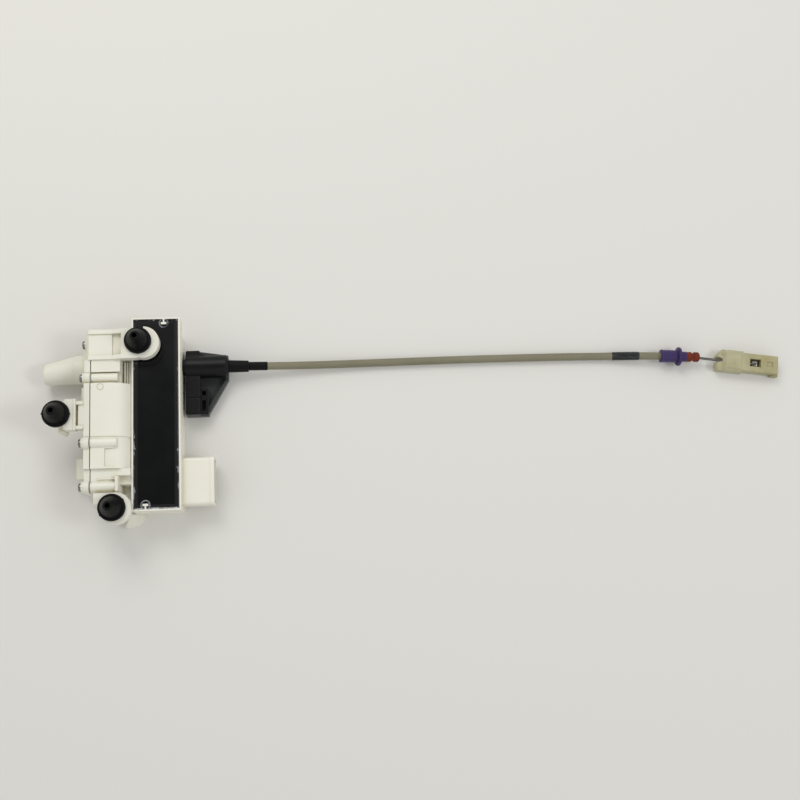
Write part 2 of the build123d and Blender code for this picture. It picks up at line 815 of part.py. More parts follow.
with BuildPart() as circuit_board:
    extrude(rect(Plane.XY.offset(board_z), well_x0 + board_gap, well_x1 - board_gap,
                 well_y0 + board_stake_gap + stake_depth + stake_stem, well_y1 - board_gap),
            amount=board_thick)
    add(connector_pins.part, mode=Mode.SUBTRACT)
circuit_board.part.label = "circuit_board"

with BuildPart() as board_relays:
    for x, y in relay_places:
        relay = rect(Plane.XY.offset(board_z + board_thick), x - relay_size[0] / 2,
                     x + relay_size[0] / 2, y - relay_size[1] / 2, y + relay_size[1] / 2)
        extrude(relay, amount=relay_size[2])
    chamfer(edges().filter_by(Axis.Z), relay_edge)
board_relays.part.label = "board_relays"

# ---- electronics tray with connector shroud, heat stakes and locating lug ------------------


def stake(plane, centre, toward_y):
    """T-shaped stake: a head along X and a stem that joins it to a wall."""
    x, y = centre
    with BuildSketch(plane) as profile:
        with Locations((x, y)):
            Rectangle(stake_head, stake_depth)
        with Locations((x, (y + toward_y) / 2)):
            Rectangle(stake_stem, abs(toward_y - y))
    return profile.sketch


with BuildPart() as electronics_tray:
    extrude(rect(Plane.XY, housing_right_x, tray_x1, tray_y0, tray_step_y, tray_corner),
            amount=tray_rim_z)
    extrude(rect(Plane.XY.offset(guide_top_z), housing_right_x, tray_x1, tray_y0 + deep_part,
                 tray_y1, tray_corner), amount=tray_rim_z - guide_top_z)
    extrude(rect(Plane.XY.offset(tray_floor), well_x0, well_x1, well_y0, well_y1),
            amount=tray_rim_z, mode=Mode.SUBTRACT)
    extrude(rect(Plane.XY.offset(guide_top_z + tray_floor), well_x0, well_x1, well_y0,
                 tray_y1 - tray_wall), amount=tray_rim_z, mode=Mode.SUBTRACT)
    # posts that carry the board
    for x in (well_x0 + post_inset, well_x1 - post_inset):
        for y in (well_y0 + post_inset_y, well_y1 - post_inset):
            extrude(disc(Plane.XY.offset(tray_floor), x, y, post_r),
                    amount=board_z - tray_floor)
    # heat stakes against the end walls
    stake_base = guide_top_z + tray_floor
    extrude(stake(Plane.XY.offset(stake_base), stake_top_at, tray_y1 - tray_wall / 2),
            amount=tray_rim_z - stake_base)
    extrude(stake(Plane.XY.offset(tray_floor), stake_bottom_at, tray_y0 + tray_wall / 2),
            amount=tray_rim_z - tray_floor)
    # low lug under the bottom corner: part of a disc
    with BuildSketch(Plane.XY):
        with BuildLine():
            start = CenterArc(lug_at, lug_r, lug_start, lug_sweep)
            Polyline(start @ 1, lug_at, start @ 0)
        make_face()
    extrude(amount=lug_z1)
    # connector shroud: a box open to the right, with a thicker lip
    extrude(rect(along_x(tray_x1), shroud_y0 + shroud_step, shroud_y1 - shroud_step,
                 shroud_z0 + shroud_step, shroud_z1 - shroud_step, shroud_corner),
            amount=plug_in_x1 - tray_x1)
    extrude(rect(along_x(plug_in_x1 - shroud_lip), shroud_y0, shroud_y1, shroud_z0, shroud_z1,
                 shroud_corner), amount=shroud_lip)
    extrude(rect(along_x(tray_x1 + shroud_back), shroud_y0 + shroud_wall,
                 shroud_y1 - shroud_wall, shroud_z0 + shroud_wall, shroud_z1 - shroud_wall,
                 mouth_corner), amount=plug_in_x1, mode=Mode.SUBTRACT)
    add(connector_pins.part, mode=Mode.SUBTRACT)
electronics_tray.part.label = "electronics_tray"

# ---- potting ------------------------------------------------------------------------------

with BuildPart() as potting_fill:
    potting_z = tray_rim_z - potting_drop
    extrude(rect(Plane.XY.offset(tray_floor), well_x0, well_x1, well_y0, well_y1),
            amount=potting_z - tray_floor)
    extrude(rect(Plane.XY.offset(stake_base), well_x0, well_x1, well_y0,
                 tray_y1 - tray_wall), amount=potting_z - stake_base)
    for piece in (electronics_tray, connector_pins, circuit_board, board_relays):
        add(piece.part, mode=Mode.SUBTRACT)
potting_fill.part.label = "potting_fill"

# ---- rubber plugs -------------------------------------------------------------------------


def plug_profile(x, y):
    """Half section of a plug on the plane through its axis, along X."""
    z1 = plate_z1 + plug_flange_h
    with BuildSketch(Plane(origin=(x, y, 0), x_dir=(1, 0, 0), z_dir=(0, -1, 0))) as profile:
        with BuildLine():
            Polyline(
                (0, plate_z0 - plug_foot_h),
                (plug_foot_r - plug_bevel, plate_z0 - plug_foot_h),
                (plug_foot_r, plate_z0 - plug_foot_h + plug_bevel),
                (plug_foot_r, plate_z0),
                (seat_r, plate_z0),
                (seat_r, plate_z1),
                (plug_flange_r, plate_z1),
                (plug_flange_r, plate_z1 + plug_rim_h),
                (plug_flange_r - plug_rim_groove, plate_z1 + plug_rim_h),
                (plug_flange_r - plug_rim_groove, plate_z1 + plug_rim_h + plug_rim_groove),
                (plug_flange_r, plate_z1 + plug_rim_h + plug_rim_groove),
                (plug_flange_r, z1 - plug_edge),
                (plug_flange_r - plug_edge, z1),
                (plug_step_r, z1),
                (plug_land_r, z1 + plug_land_rise),
                (plug_land_r, z1 + plug_land_rise + plug_land_h),
                (plug_tip_r, plate_z1 + plug_height - plug_bevel),
                (plug_tip_r - plug_bevel, plate_z1 + plug_height),
                (plug_hole_r, plate_z1 + plug_height),
                (plug_hole_r, plate_z1 + plug_height - plug_hole_depth),
                (0, plate_z1 + plug_height - plug_hole_depth),
                close=True,
            )
        make_face()
    return profile.sketch


plug_places = {
    "top": (plug_top_at, plug_top_slot),
    "left": (plug_left_at, plug_left_slot),
    "bottom": (plug_bottom_at, plug_bottom_slot),
}
mount_plugs = {}
for side, ((plug_x, plug_y), slot) in plug_places.items():
    with BuildPart() as mount_plug:
        revolve(plug_profile(plug_x, plug_y), Axis((plug_x, plug_y, 0), (0, 0, 1)))
        with Locations((plug_x, plug_y, plate_z1 + plug_flange_h / 2)):
            with PolarLocations(plug_flange_r + plug_nub_out - plug_nub_r, 2, slot):
                Cylinder(plug_nub_r, plug_flange_h)
    mount_plug.part.label = "mount_plug_" + side
    mount_plugs[side] = mount_plug

# ---- Bowden cable: conduit, sleeve and band -------------------------------------------------

drop = radians(cable_drop_deg)
ferrule_dir = Vector(cos(radians(ferrule_angle)), sin(radians(ferrule_angle)), 0)
conduit_end = Vector(*ferrule_at) + ferrule_dir * ferrule_seat
conduit_start = Vector(bracket_x1 - conduit_seat, axis_y, axis_z + conduit_seat * tan(drop))
route = (
    conduit_start,
    Vector(straight_x1, axis_y, axis_z - (straight_x1 - bracket_x1) * tan(drop)),
    Vector(115, 37.9, 4.4),
    Vector(158, 38.7, 2.75),
    Vector(215, 39.4, 2.66),
    Vector(275, 39.5, 2.66),
    Vector(322, 38.9, 2.75),
    Vector(347, 38.1, 5.2),
    conduit_end,
)


def route_radii(points):
    """Radius of the arc at each corner of the route: as large as its two runs allow."""
    radii = []
    for before, here, after in zip(points, points[1:], points[2:]):
        turn = radians((here - before).get_angle(after - here))
        shorter = min((here - before).length, (after - here).length)
        radii.append(0.45 * shorter / tan(turn / 2))
    return radii


def swept_cable(radius):
    """Round bar along the whole route."""
    with BuildPart(mode=Mode.PRIVATE) as bar:
        with BuildLine():
            path = FilletPolyline(*route, radius=conduit_radii)
        with BuildSketch(Plane(route[0], z_dir=path % 0)):
            Circle(radius)
        sweep(path=path)
    return bar.part, path.length


conduit_radii = route_radii(route)
print("conduit radii", [round(r) for r in conduit_radii])
conduit_bar, conduit_length = swept_cable(conduit_r)
print("conduit length", round(conduit_length, 2), "volume ratio",
      round(conduit_bar.volume / (pi * conduit_r**2 * conduit_length), 5))

with BuildPart() as cable_conduit:
    add(conduit_bar)
cable_conduit.part.label = "cable_conduit"

outer_bar, _ = swept_cable(sleeve_r)


def cable_cover(x0, x1):
    """Tube over the conduit between two stations along X."""
    with BuildPart(mode=Mode.PRIVATE) as cover:
        add(outer_bar)
        with Locations(((x0 + x1) / 2, axis_y, axis_z)):
            Box(x1 - x0, cover_box, cover_box, mode=Mode.INTERSECT)
        add(conduit_bar, mode=Mode.SUBTRACT)
    return cover.part


relief_dir = (route[1] - route[0]).normalized()
relief_root = route[0] + relief_dir * relief_seat
relief_end = relief_root + relief_dir * relief_len

with BuildPart() as strain_relief:
    with BuildSketch(Plane(relief_root, z_dir=relief_dir)):
        Circle(relief_root_r)
    with BuildSketch(Plane(relief_end, z_dir=relief_dir)):
        Circle(relief_tip_r)
    loft()
    fillet(faces().sort_by(Axis.X)[-1].edges(), relief_edge)
    add(conduit_bar, mode=Mode.SUBTRACT)
strain_relief.part.label = "strain_relief"

with BuildPart() as conduit_sleeve:
    add(cable_cover(relief_end.X, sleeve_x1))
    add(strain_relief.part, mode=Mode.SUBTRACT)
conduit_sleeve.part.label = "conduit_sleeve"

with BuildPart() as conduit_band:
    add(cable_cover(band_x0, band_x1))
conduit_band.part.label = "conduit_band"

# ---- cable bracket ------------------------------------------------------------------------

flank_x = bracket_x1 - bracket_flank_in
flank_y1 = bracket_y1 - bracket_flank_drop

with BuildPart() as cable_bracket:
    with BuildSketch(Plane.XY.offset(bracket_floor_z)):
        with BuildLine():
            Polyline(
                (bracket_x0, bracket_y0),
                (bracket_clip_x1, bracket_y0),
                (bracket_clip_x1, bracket_y0 + bracket_toe_rise),
                (flank_x, bracket_toe_y),
                (flank_x, flank_y1),
                (bracket_block_x1, bracket_y1),
                (bracket_x0, bracket_y1),
                close=True,
            )
        make_face()
    extrude(amount=bracket_web_z - bracket_floor_z)
    with BuildSketch(Plane.XY.offset(bracket_floor_z + bracket_web)):
        with BuildLine():
            Polyline(
                (bracket_block_x1, bracket_y0 + bracket_toe_rise + bracket_wall),
                (bracket_clip_x1 - bracket_wall, bracket_y0 + bracket_toe_rise + bracket_wall),
                (flank_x - bracket_wall, bracket_toe_y),
                (flank_x - bracket_wall, flank_y1 - bracket_wall),
                (bracket_block_x1, bracket_y1 - bracket_wall),
                close=True,
            )
        make_face()
    extrude(amount=bracket_web_z, mode=Mode.SUBTRACT)
    extrude(rect(Plane.XY.offset(bracket_floor_z), bracket_x0, bracket_block_x1, bracket_y0,
                 bracket_y1, bracket_corner), amount=bracket_top_z - bracket_floor_z)
    # lowered edge, ridge and groove on the block
    extrude(rect(Plane.XY.offset(bracket_top_z - bracket_edge_drop), bracket_x0 - over,
                 bracket_block_x1 + over, bracket_y1 - bracket_edge, bracket_y1 + over),
            amount=bracket_top_z, mode=Mode.SUBTRACT)
    extrude(rect(Plane.XY.offset(bracket_clip_z), bracket_block_x1 - bracket_ridge_w,
                 bracket_block_x1, bracket_y0 + bracket_corner, bracket_ridge_y1),
            amount=bracket_top_z + bracket_ridge_h - bracket_clip_z)
    extrude(rect(Plane.XY.offset(bracket_top_z - bracket_groove_h), bracket_x0 - over,
                 bracket_block_x1 + over, bracket_groove_y - bracket_groove_w / 2,
                 bracket_groove_y + bracket_groove_w / 2),
            amount=bracket_top_z, mode=Mode.SUBTRACT)
    extrude(disc(along_x(bracket_x0), axis_y, axis_z, bracket_cyl_r),
            amount=bracket_x1 - bracket_x0 - bracket_end_round)
    extrude(disc(along_x(bracket_x1 - bracket_end_round), axis_y, axis_z, bracket_cyl_r),
            amount=bracket_end_round, taper=bracket_end_deg)
    extrude(disc(along_x(bracket_x0 - spigot_len), axis_y, axis_z, spigot_r),
            amount=spigot_len + over)
    # clip beside the block: a frame with two windows
    extrude(rect(Plane.XY.offset(bracket_floor_z), bracket_block_x1, bracket_clip_x1,
                 bracket_clip_y0, bracket_clip_y1), amount=bracket_clip_z - bracket_floor_z)
    clip_bar0, clip_bar1 = bracket_clip_bars
    for window_y0, window_y1 in bracket_clip_windows:
        extrude(rect(Plane.XY.offset(bracket_floor_z + bracket_web),
                     bracket_block_x1 + clip_bar0, bracket_clip_x1 - clip_bar1, window_y0,
                     window_y1), amount=bracket_top_z, mode=Mode.SUBTRACT)
    # passage for the core, then the seats of conduit and relief
    extrude(disc(along_x(bracket_x0 - spigot_len - over), axis_y, axis_z, core_bore_r),
            amount=core_room_x1 - bracket_x0 + spigot_len + over, mode=Mode.SUBTRACT)
    add(conduit_bar, mode=Mode.SUBTRACT)
    add(strain_relief.part, mode=Mode.SUBTRACT)
cable_bracket.part.label = "cable_bracket"

# ---- far end: ferrule, seal, wire and end fitting ------------------------------------------


def turned(profile_points, origin, direction):
    """Solid of revolution about a line: points are (distance along it, radius)."""
    plane = Plane(origin=origin, x_dir=direction, z_dir=(0, 0, 1))
    with BuildPart(mode=Mode.PRIVATE) as solid:
        with BuildSketch(plane):
            with BuildLine():
                Polyline(*profile_points, close=True)
            make_face()
        revolve(axis=Axis(origin, direction))
    return solid.part


ferrule_origin = Vector(*ferrule_at)
flange_u = ferrule_barrel_len + ferrule_flange_len
nose_u = flange_u + ferrule_nose_len

with BuildPart() as cable_ferrule:
    add(turned((
        (0, conduit_r),
        (0, ferrule_cuff_r - ferrule_edge),
        (ferrule_edge, ferrule_cuff_r),
        (ferrule_cuff_len, ferrule_cuff_r),
        (ferrule_cuff_len + ferrule_edge, ferrule_barrel_r),
        (ferrule_barrel_len, ferrule_barrel_r),
        (ferrule_barrel_len, ferrule_flange_r - ferrule_edge),
        (ferrule_barrel_len + ferrule_edge, ferrule_flange_r),
        (flange_u - ferrule_edge, ferrule_flange_r),
        (flange_u, ferrule_flange_r - ferrule_edge),
        (flange_u, ferrule_nose_r),
        (nose_u, ferrule_nose_r),
        (nose_u, wire_bore_r),
        (ferrule_seat, wire_bore_r),
        (ferrule_seat, conduit_r),
    ), ferrule_origin, ferrule_dir))
    add(conduit_bar, mode=Mode.SUBTRACT)
cable_ferrule.part.label = "cable_ferrule"

seal_u = nose_u + seal_len
groove_u0 = (nose_u + seal_u - seal_groove_len) / 2
groove_u1 = groove_u0 + seal_groove_len
with BuildPart() as wire_seal:
    add(turned((
        (nose_u, wire_bore_r),
        (nose_u, seal_r),
        (groove_u0 - seal_slope, seal_r),
        (groove_u0, seal_groove_r),
        (groove_u1, seal_groove_r),
        (groove_u1 + seal_slope, seal_r),
        (seal_u - seal_edge, seal_r),
        (seal_u, seal_r - seal_edge),
        (seal_u, wire_bore_r),
    ), ferrule_origin, ferrule_dir))
wire_seal.part.label = "wire_seal"

wire_dir = Vector(cos(radians(wire_angle)), sin(radians(wire_angle)), 0)
seal_end = ferrule_origin + ferrule_dir * seal_u
wire_start = seal_end - ferrule_dir * wire_cross - wire_dir * (wire_back - wire_cross)
fitting_face = seal_end + wire_dir * fitting_gap
wire_length = wire_back + fitting_gap + fitting_wire_in

fitting_plane = Plane(origin=(fitting_face.X, fitting_face.Y, 0), x_dir=wire_dir,
                      z_dir=(0, 0, 1))


def on_fitting(z):
    """Plane across the fitting at a height: local x runs along the wire."""
    return fitting_plane.offset(z)


with BuildPart() as pull_wire:
    with BuildSketch(Plane(origin=wire_start, z_dir=wire_dir)):
        Circle(wire_r)
    extrude(amount=wire_length)
pull_wire.part.label = "pull_wire"

with BuildPart() as end_clip:
    extrude(rect(on_fitting(clip_z0), fitting_window_u0 + clip_gap, fitting_window_u1 - clip_gap,
                 -clip_w / 2, clip_w / 2), amount=clip_z1 - clip_z0)
    add(pull_wire.part, mode=Mode.SUBTRACT)
end_clip.part.label = "end_clip"


with BuildPart() as end_fitting:
    # winged head with a notch for the wire, and a narrower tail
    with BuildSketch(on_fitting(fitting_z0)):
        with BuildLine():
            Polyline(
                (fitting_notch, fitting_notch_w / 2),
                (0, fitting_notch_mouth / 2),
                (0, fitting_wing_v),
                (fitting_wing, fitting_wide / 2),
                (fitting_head_len, fitting_wide / 2),
                (fitting_head_len, -fitting_wide / 2),
                (fitting_wing_corner, -fitting_wide / 2),
                (0, fitting_wing_corner - fitting_wide / 2),
                (0, -fitting_notch_mouth / 2),
                (fitting_notch, -fitting_notch_w / 2),
                close=True,
            )
        make_face()
    extrude(amount=fitting_shoulder_z - fitting_z0)
    # raised back of the head, with sloping sides
    extrude(rect(on_fitting(fitting_shoulder_z), fitting_wing, fitting_head_len,
                 -fitting_wide / 2, fitting_wide / 2),
            amount=fitting_z1 - fitting_shoulder_z, taper=fitting_slope_deg)
    extrude(rect(on_fitting(fitting_z0), fitting_head_len - fitting_wing, fitting_len,
                 -fitting_narrow / 2, fitting_narrow / 2), amount=fitting_tail_z - fitting_z0)
    # foot beside the tail, clip window and dent
    extrude(rect(on_fitting(fitting_z0), *fitting_foot), amount=fitting_foot_z - fitting_z0)
    extrude(rect(on_fitting(clip_z0), fitting_window_u0, fitting_window_u1,
                 -fitting_window_w / 2, fitting_window_w / 2), amount=fitting_z1,
            mode=Mode.SUBTRACT)
    dent_u0, dent_u1, dent_w, dent_deep = fitting_dent
    extrude(rect(on_fitting(fitting_tail_z - dent_deep), dent_u0, dent_u1, -dent_w / 2,
                 dent_w / 2), amount=fitting_z1, mode=Mode.SUBTRACT)
    add(pull_wire.part, mode=Mode.SUBTRACT)
end_fitting.part.label = "end_fitting"

# ---- motor --------------------------------------------------------------------------------

motor_back_y = motor_front_y - motor_len


def motor_ring(y1, length, outer, inner=0.0, mode=Mode.ADD):
    """Ring or bar on the motor's axis, from y1 towards -Y."""
    return extrude(disc(along_y(y1), motor_x, motor_z, outer, inner), amount=length,
                   mode=mode)


with BuildPart() as motor_can:
    motor_ring(motor_front_y, motor_len, motor_r, motor_r - motor_wall)
    motor_ring(motor_front_y, motor_front_wall, motor_r, motor_bush_r)
    motor_ring(motor_front_y + motor_boss_len, motor_boss_len, motor_boss_r, motor_bush_r)
motor_can.part.label = "motor_can"

with BuildPart() as motor_end_cap:
    motor_ring(motor_back_y + end_cap_len, end_cap_len, motor_r - motor_wall, motor_bush_r)
motor_end_cap.part.label = "motor_end_cap"

with BuildPart() as motor_bushes:
    motor_ring(motor_front_y + motor_boss_len, motor_boss_len + motor_front_wall, motor_bush_r,
               shaft_r + running_gap)
    motor_ring(motor_back_y + end_cap_len, end_cap_len, motor_bush_r, shaft_r + running_gap)
    motor_ring(worm_y1 + end_bush_len, end_bush_len, end_bush_r, shaft_r + running_gap)
motor_bushes.part.label = "motor_bushes"

magnet_r0 = motor_r - motor_wall - magnet_thick
magnet_y1 = motor_front_y - magnet_setback
armature_y1 = magnet_y1 - armature_setback
commutator_y1 = motor_back_y + end_cap_len + commutator_len
armature_len = armature_y1 - winding_gap - commutator_y1
magnet_len = armature_len + 2 * armature_setback

with BuildPart() as motor_magnets:
    motor_ring(magnet_y1, magnet_len, motor_r - motor_wall, magnet_r0)
    for side in (-1, 1):
        with Locations((motor_x + side * motor_r, magnet_y1 - magnet_len / 2, motor_z)):
            Box(motor_r, magnet_len + 2 * over, magnet_gap, mode=Mode.SUBTRACT)
motor_magnets.part.label = "motor_magnets"

with BuildPart() as motor_shaft:
    motor_ring(worm_y1 + end_bush_len - shaft_end_gap,
               worm_y1 + end_bush_len - motor_back_y - 2 * shaft_end_gap, shaft_r)
motor_shaft.part.label = "motor_shaft"

with BuildPart() as armature:
    motor_ring(armature_y1, armature_len, magnet_r0 - air_gap, shaft_r)
    slot_r = magnet_r0 - air_gap
    for k in range(armature_slots):
        angle = radians(360 / armature_slots * k)
        slot_at = (motor_x + slot_r * cos(angle), motor_z + slot_r * sin(angle))
        extrude(disc(along_y(armature_y1 + over), *slot_at, armature_slot_r),
                amount=armature_len + 2 * over, mode=Mode.SUBTRACT)
armature.part.label = "armature"

with BuildPart() as commutator:
    motor_ring(commutator_y1, commutator_len, commutator_r, shaft_r)
commutator.part.label = "commutator"

with BuildPart() as motor_brushes:
    brush_len = motor_r - motor_wall - commutator_r - 2 * brush_gap
    for side in (-1, 1):
        brush_x = motor_x + side * (commutator_r + brush_gap + brush_len / 2)
        with Locations((brush_x, commutator_y1 - commutator_len / 2, motor_z)):
            Box(brush_len, brush_w, brush_w)
    add(motor_can.part, mode=Mode.SUBTRACT)
motor_brushes.part.label = "motor_brushes"

# ---- worm and worm wheel ------------------------------------------------------------------

flank = tan(radians(pressure_angle))
thread_root = worm_pitch_r - worm_root_r + thread_bite
crest_half = tooth_pitch / 4 - addendum * flank
foot_half = tooth_pitch / 4 + thread_root * flank
helix_y0 = axis_y - tooth_pitch * worm_turns / 2
helix_len = tooth_pitch * worm_turns
worm_y0 = helix_y0 - worm_end

with BuildPart() as worm:
    motor_ring(helix_y0 + helix_len + worm_end, helix_len + 2 * worm_end, worm_root_r)
    with BuildLine():
        helix = Helix(tooth_pitch, helix_len, worm_pitch_r,
                      center=(motor_x, helix_y0, motor_z), direction=(0, 1, 0))
    with BuildSketch(Plane(origin=helix @ 0, x_dir=(0, 0, 1), z_dir=helix % 0)):
        with BuildLine():
            Polyline(
                (addendum, -crest_half),
                (addendum, crest_half),
                (-thread_root, foot_half),
                (-thread_root, -foot_half),
                close=True,
            )
        make_face()
    sweep(path=helix, is_frenet=True)
    motor_ring(helix_y0 + helix_len + worm_end + over,
               helix_len + 2 * (worm_end + over), shaft_r, mode=Mode.SUBTRACT)
worm.part.label = "worm"

base_r = wheel_pitch_r * cos(radians(pressure_angle))


def involute(angle):
    """Involute function of an angle."""
    return tan(angle) - angle


def tooth_half_angle(radius):
    """Half the angle that a wheel tooth fills at a radius."""
    at_pitch = (tooth_pitch / 2 - backlash) / (2 * wheel_pitch_r)
    grown = involute(radians(pressure_angle))
    if radius > base_r:
        grown -= involute(acos(base_r / radius))
    return at_pitch + grown


def wheel_section(x):
    """Outline of the worm wheel at a station: a tooth space stands up at its middle."""
    twist = (x - motor_x) * lead_tan / wheel_pitch_r
    flank_radii = (wheel_root_r, base_r, wheel_pitch_r, wheel_tip_r)
    points = []
    for k in range(wheel_teeth):
        middle = pi / 2 + (k + 0.5) * 2 * pi / wheel_teeth + twist
        for radius in flank_radii:
            angle = middle - tooth_half_angle(radius)
            points.append((radius * cos(angle), radius * sin(angle)))
        for radius in reversed(flank_radii):
            angle = middle + tooth_half_angle(radius)
            points.append((radius * cos(angle), radius * sin(angle)))
    with BuildSketch(along_x(x)) as outline:
        with Locations((axis_y, axis_z)):
            with BuildSketch(mode=Mode.PRIVATE) as teeth:
                with BuildLine():
                    Polyline(*points, close=True)
                make_face()
            add(teeth.sketch)
    return outline.sketch


with BuildPart() as worm_wheel:
    wheel_x0 = motor_x - wheel_width / 2
    loft([wheel_section(wheel_x0).faces()[0],
          wheel_section(wheel_x0 + wheel_width).faces()[0]], ruled=True)
    extrude(disc(along_x(journal_x0), axis_y, axis_z, journal_r),
            amount=journal_x1 - journal_x0)
    extrude(disc(along_x(journal_x0 - over), axis_y, axis_z, screw_r + running_gap),
            amount=journal_x1 - journal_x0 + 2 * over, mode=Mode.SUBTRACT)
worm_wheel.part.label = "worm_wheel"

with BuildPart() as wheel_bushes:
    for x in (lid_bush_x0, wheel_bush_x0):
        extrude(disc(along_x(x), axis_y, axis_z, wheel_bush_r, journal_r + running_gap),
                amount=wheel_bush_len)
wheel_bushes.part.label = "wheel_bushes"

# ---- screw, crosshead, nipple and core ----------------------------------------------------

with BuildPart() as lead_screw:
    extrude(disc(along_x(screw_x0), axis_y, axis_z, screw_r), amount=screw_x1 - screw_x0)
    chamfer(faces().sort_by(Axis.X)[0].edges(), screw_tip)
lead_screw.part.label = "lead_screw"

nipple_x = crosshead_x1 - nipple_r - nipple_wall

with BuildPart() as cable_nipple:
    with BuildSketch(Plane.XY.offset(axis_z - nipple_h / 2)):
        with Locations((nipple_x, axis_y)):
            Circle(nipple_r)
    extrude(amount=nipple_h)
cable_nipple.part.label = "cable_nipple"

with BuildPart() as core_stub:
    extrude(disc(along_x(nipple_x), axis_y, axis_z, core_r), amount=core_x1 - nipple_x)
    add(cable_nipple.part, mode=Mode.SUBTRACT)
core_stub.part.label = "core_stub"

with BuildPart() as screw_crosshead:
    extrude(rect(along_x(screw_x1), axis_y - crosshead_w / 2, axis_y + crosshead_w / 2,
                 axis_z - crosshead_h / 2, axis_z + crosshead_h / 2, crosshead_corner),
            amount=crosshead_x1 - screw_x1)
    for piece in (cable_nipple, core_stub):
        add(piece.part, mode=Mode.SUBTRACT)
screw_crosshead.part.label = "screw_crosshead"

# ---- write the parts ----------------------------------------------------------------------

pieces = (
    gear_housing,
    housing_lid,
    lid_gasket,
    lid_screws,
    electronics_tray,
    circuit_board,
    board_relays,
    connector_pins,
    potting_fill,
    *mount_plugs.values(),
    cable_bracket,
    strain_relief,
    conduit_sleeve,
    cable_conduit,
    conduit_band,
    cable_ferrule,
    wire_seal,
    pull_wire,
    end_fitting,
    end_clip,
    motor_can,
    motor_end_cap,
    motor_magnets,
    motor_bushes,
    motor_brushes,
    motor_shaft,
    armature,
    commutator,
    worm,
    worm_wheel,
    wheel_bushes,
    lead_screw,
    screw_crosshead,
    cable_nipple,
    core_stub,
)

os.makedirs("parts", exist_ok=True)
for piece in pieces:
    export_step(piece.part, "parts/" + piece.part.label + ".step")
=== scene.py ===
import math

import bpy
from bpy.props import FloatProperty, FloatVectorProperty, IntProperty, PointerProperty
from mathutils import Matrix, Vector


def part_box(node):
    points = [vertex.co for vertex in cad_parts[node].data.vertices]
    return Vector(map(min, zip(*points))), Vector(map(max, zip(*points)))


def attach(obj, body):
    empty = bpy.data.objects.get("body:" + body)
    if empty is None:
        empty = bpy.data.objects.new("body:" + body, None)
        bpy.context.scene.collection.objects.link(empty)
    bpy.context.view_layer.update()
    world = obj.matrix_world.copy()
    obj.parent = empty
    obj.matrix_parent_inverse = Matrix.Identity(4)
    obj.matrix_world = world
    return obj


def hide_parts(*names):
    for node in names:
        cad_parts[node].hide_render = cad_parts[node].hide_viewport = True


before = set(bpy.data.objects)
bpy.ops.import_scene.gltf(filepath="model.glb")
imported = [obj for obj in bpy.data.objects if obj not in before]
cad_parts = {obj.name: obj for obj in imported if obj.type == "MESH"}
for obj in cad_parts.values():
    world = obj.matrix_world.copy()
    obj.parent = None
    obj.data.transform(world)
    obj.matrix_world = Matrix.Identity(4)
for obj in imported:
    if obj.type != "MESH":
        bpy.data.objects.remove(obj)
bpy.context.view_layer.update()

bl_info = {
    "name": "Latch closing drive",
    "version": (1, 0, 0),
    "blender": (4, 5, 0),
    "location": "View3D > Sidebar > Latch drive",
    "description": "Dresses the packed closing drive, its cable and its end fitting",
    "category": "Object",
}

MM = 0.001
ON_PLANE = 0.01 * MM  # a corner nearer than this lies on a plane


# ---- settings ----------------------------------------------------------------------------


class StageSettings(bpy.types.PropertyGroup):
    """Camera, lamps and floor."""

    camera_at: FloatVectorProperty(
        name="Camera place", description="Where the camera stands", size=3,
        unit="LENGTH", default=(0.1157, -0.12388, 0.738))
    camera_aim: FloatVectorProperty(
        name="Aim", description="Point on the floor that the camera looks at", size=3,
        unit="LENGTH", default=(0.17619, 0.01284, 0.0))
    camera_turn: FloatProperty(
        name="Camera turn", description="Roll of the picture about the line of sight",
        unit="ROTATION", default=math.radians(2.528))
    lens: FloatProperty(name="Lens", description="Focal length, in mm", default=49.5)
    floor_size: FloatProperty(
        name="Floor size", description="Side of the square floor", unit="LENGTH",
        default=6.0)
    floor_color: FloatVectorProperty(
        name="Floor colour", description="Colour of the matt floor", size=3,
        subtype="COLOR", default=(0.745, 0.736, 0.700))
    lamp_power: FloatProperty(
        name="Lamp power", description="Power of the large soft lamp, in watts",
        default=5.0)
    lamp_size: FloatProperty(
        name="Lamp size", description="Side of the soft lamp", unit="LENGTH", default=0.6)
    lamp_at: FloatVectorProperty(
        name="Lamp place", description="Where the soft lamp hangs", size=3, unit="LENGTH",
        default=(-0.20, 0.80, 1.10))
    side_power: FloatProperty(
        name="Side lamp power", description="Power of the cooler side lamp, in watts",
        default=8.5)
    side_size: FloatProperty(
        name="Side lamp size", description="Side of the side lamp", unit="LENGTH",
        default=0.5)
    side_at: FloatVectorProperty(
        name="Side lamp place", description="Where the cooler side lamp hangs", size=3,
        unit="LENGTH", default=(1.6, -0.3, 1.7))
    sky_low: FloatProperty(
        name="Sky at the horizon", description="Strength of the even light from the sides",
        default=0.50)
    sky_middle: FloatProperty(
        name="Sky half way up", description="Strength of the even light from half way up",
        default=0.83)
    sky_high: FloatProperty(
        name="Sky overhead", description="Strength of the even light from straight above",
        default=0.21)


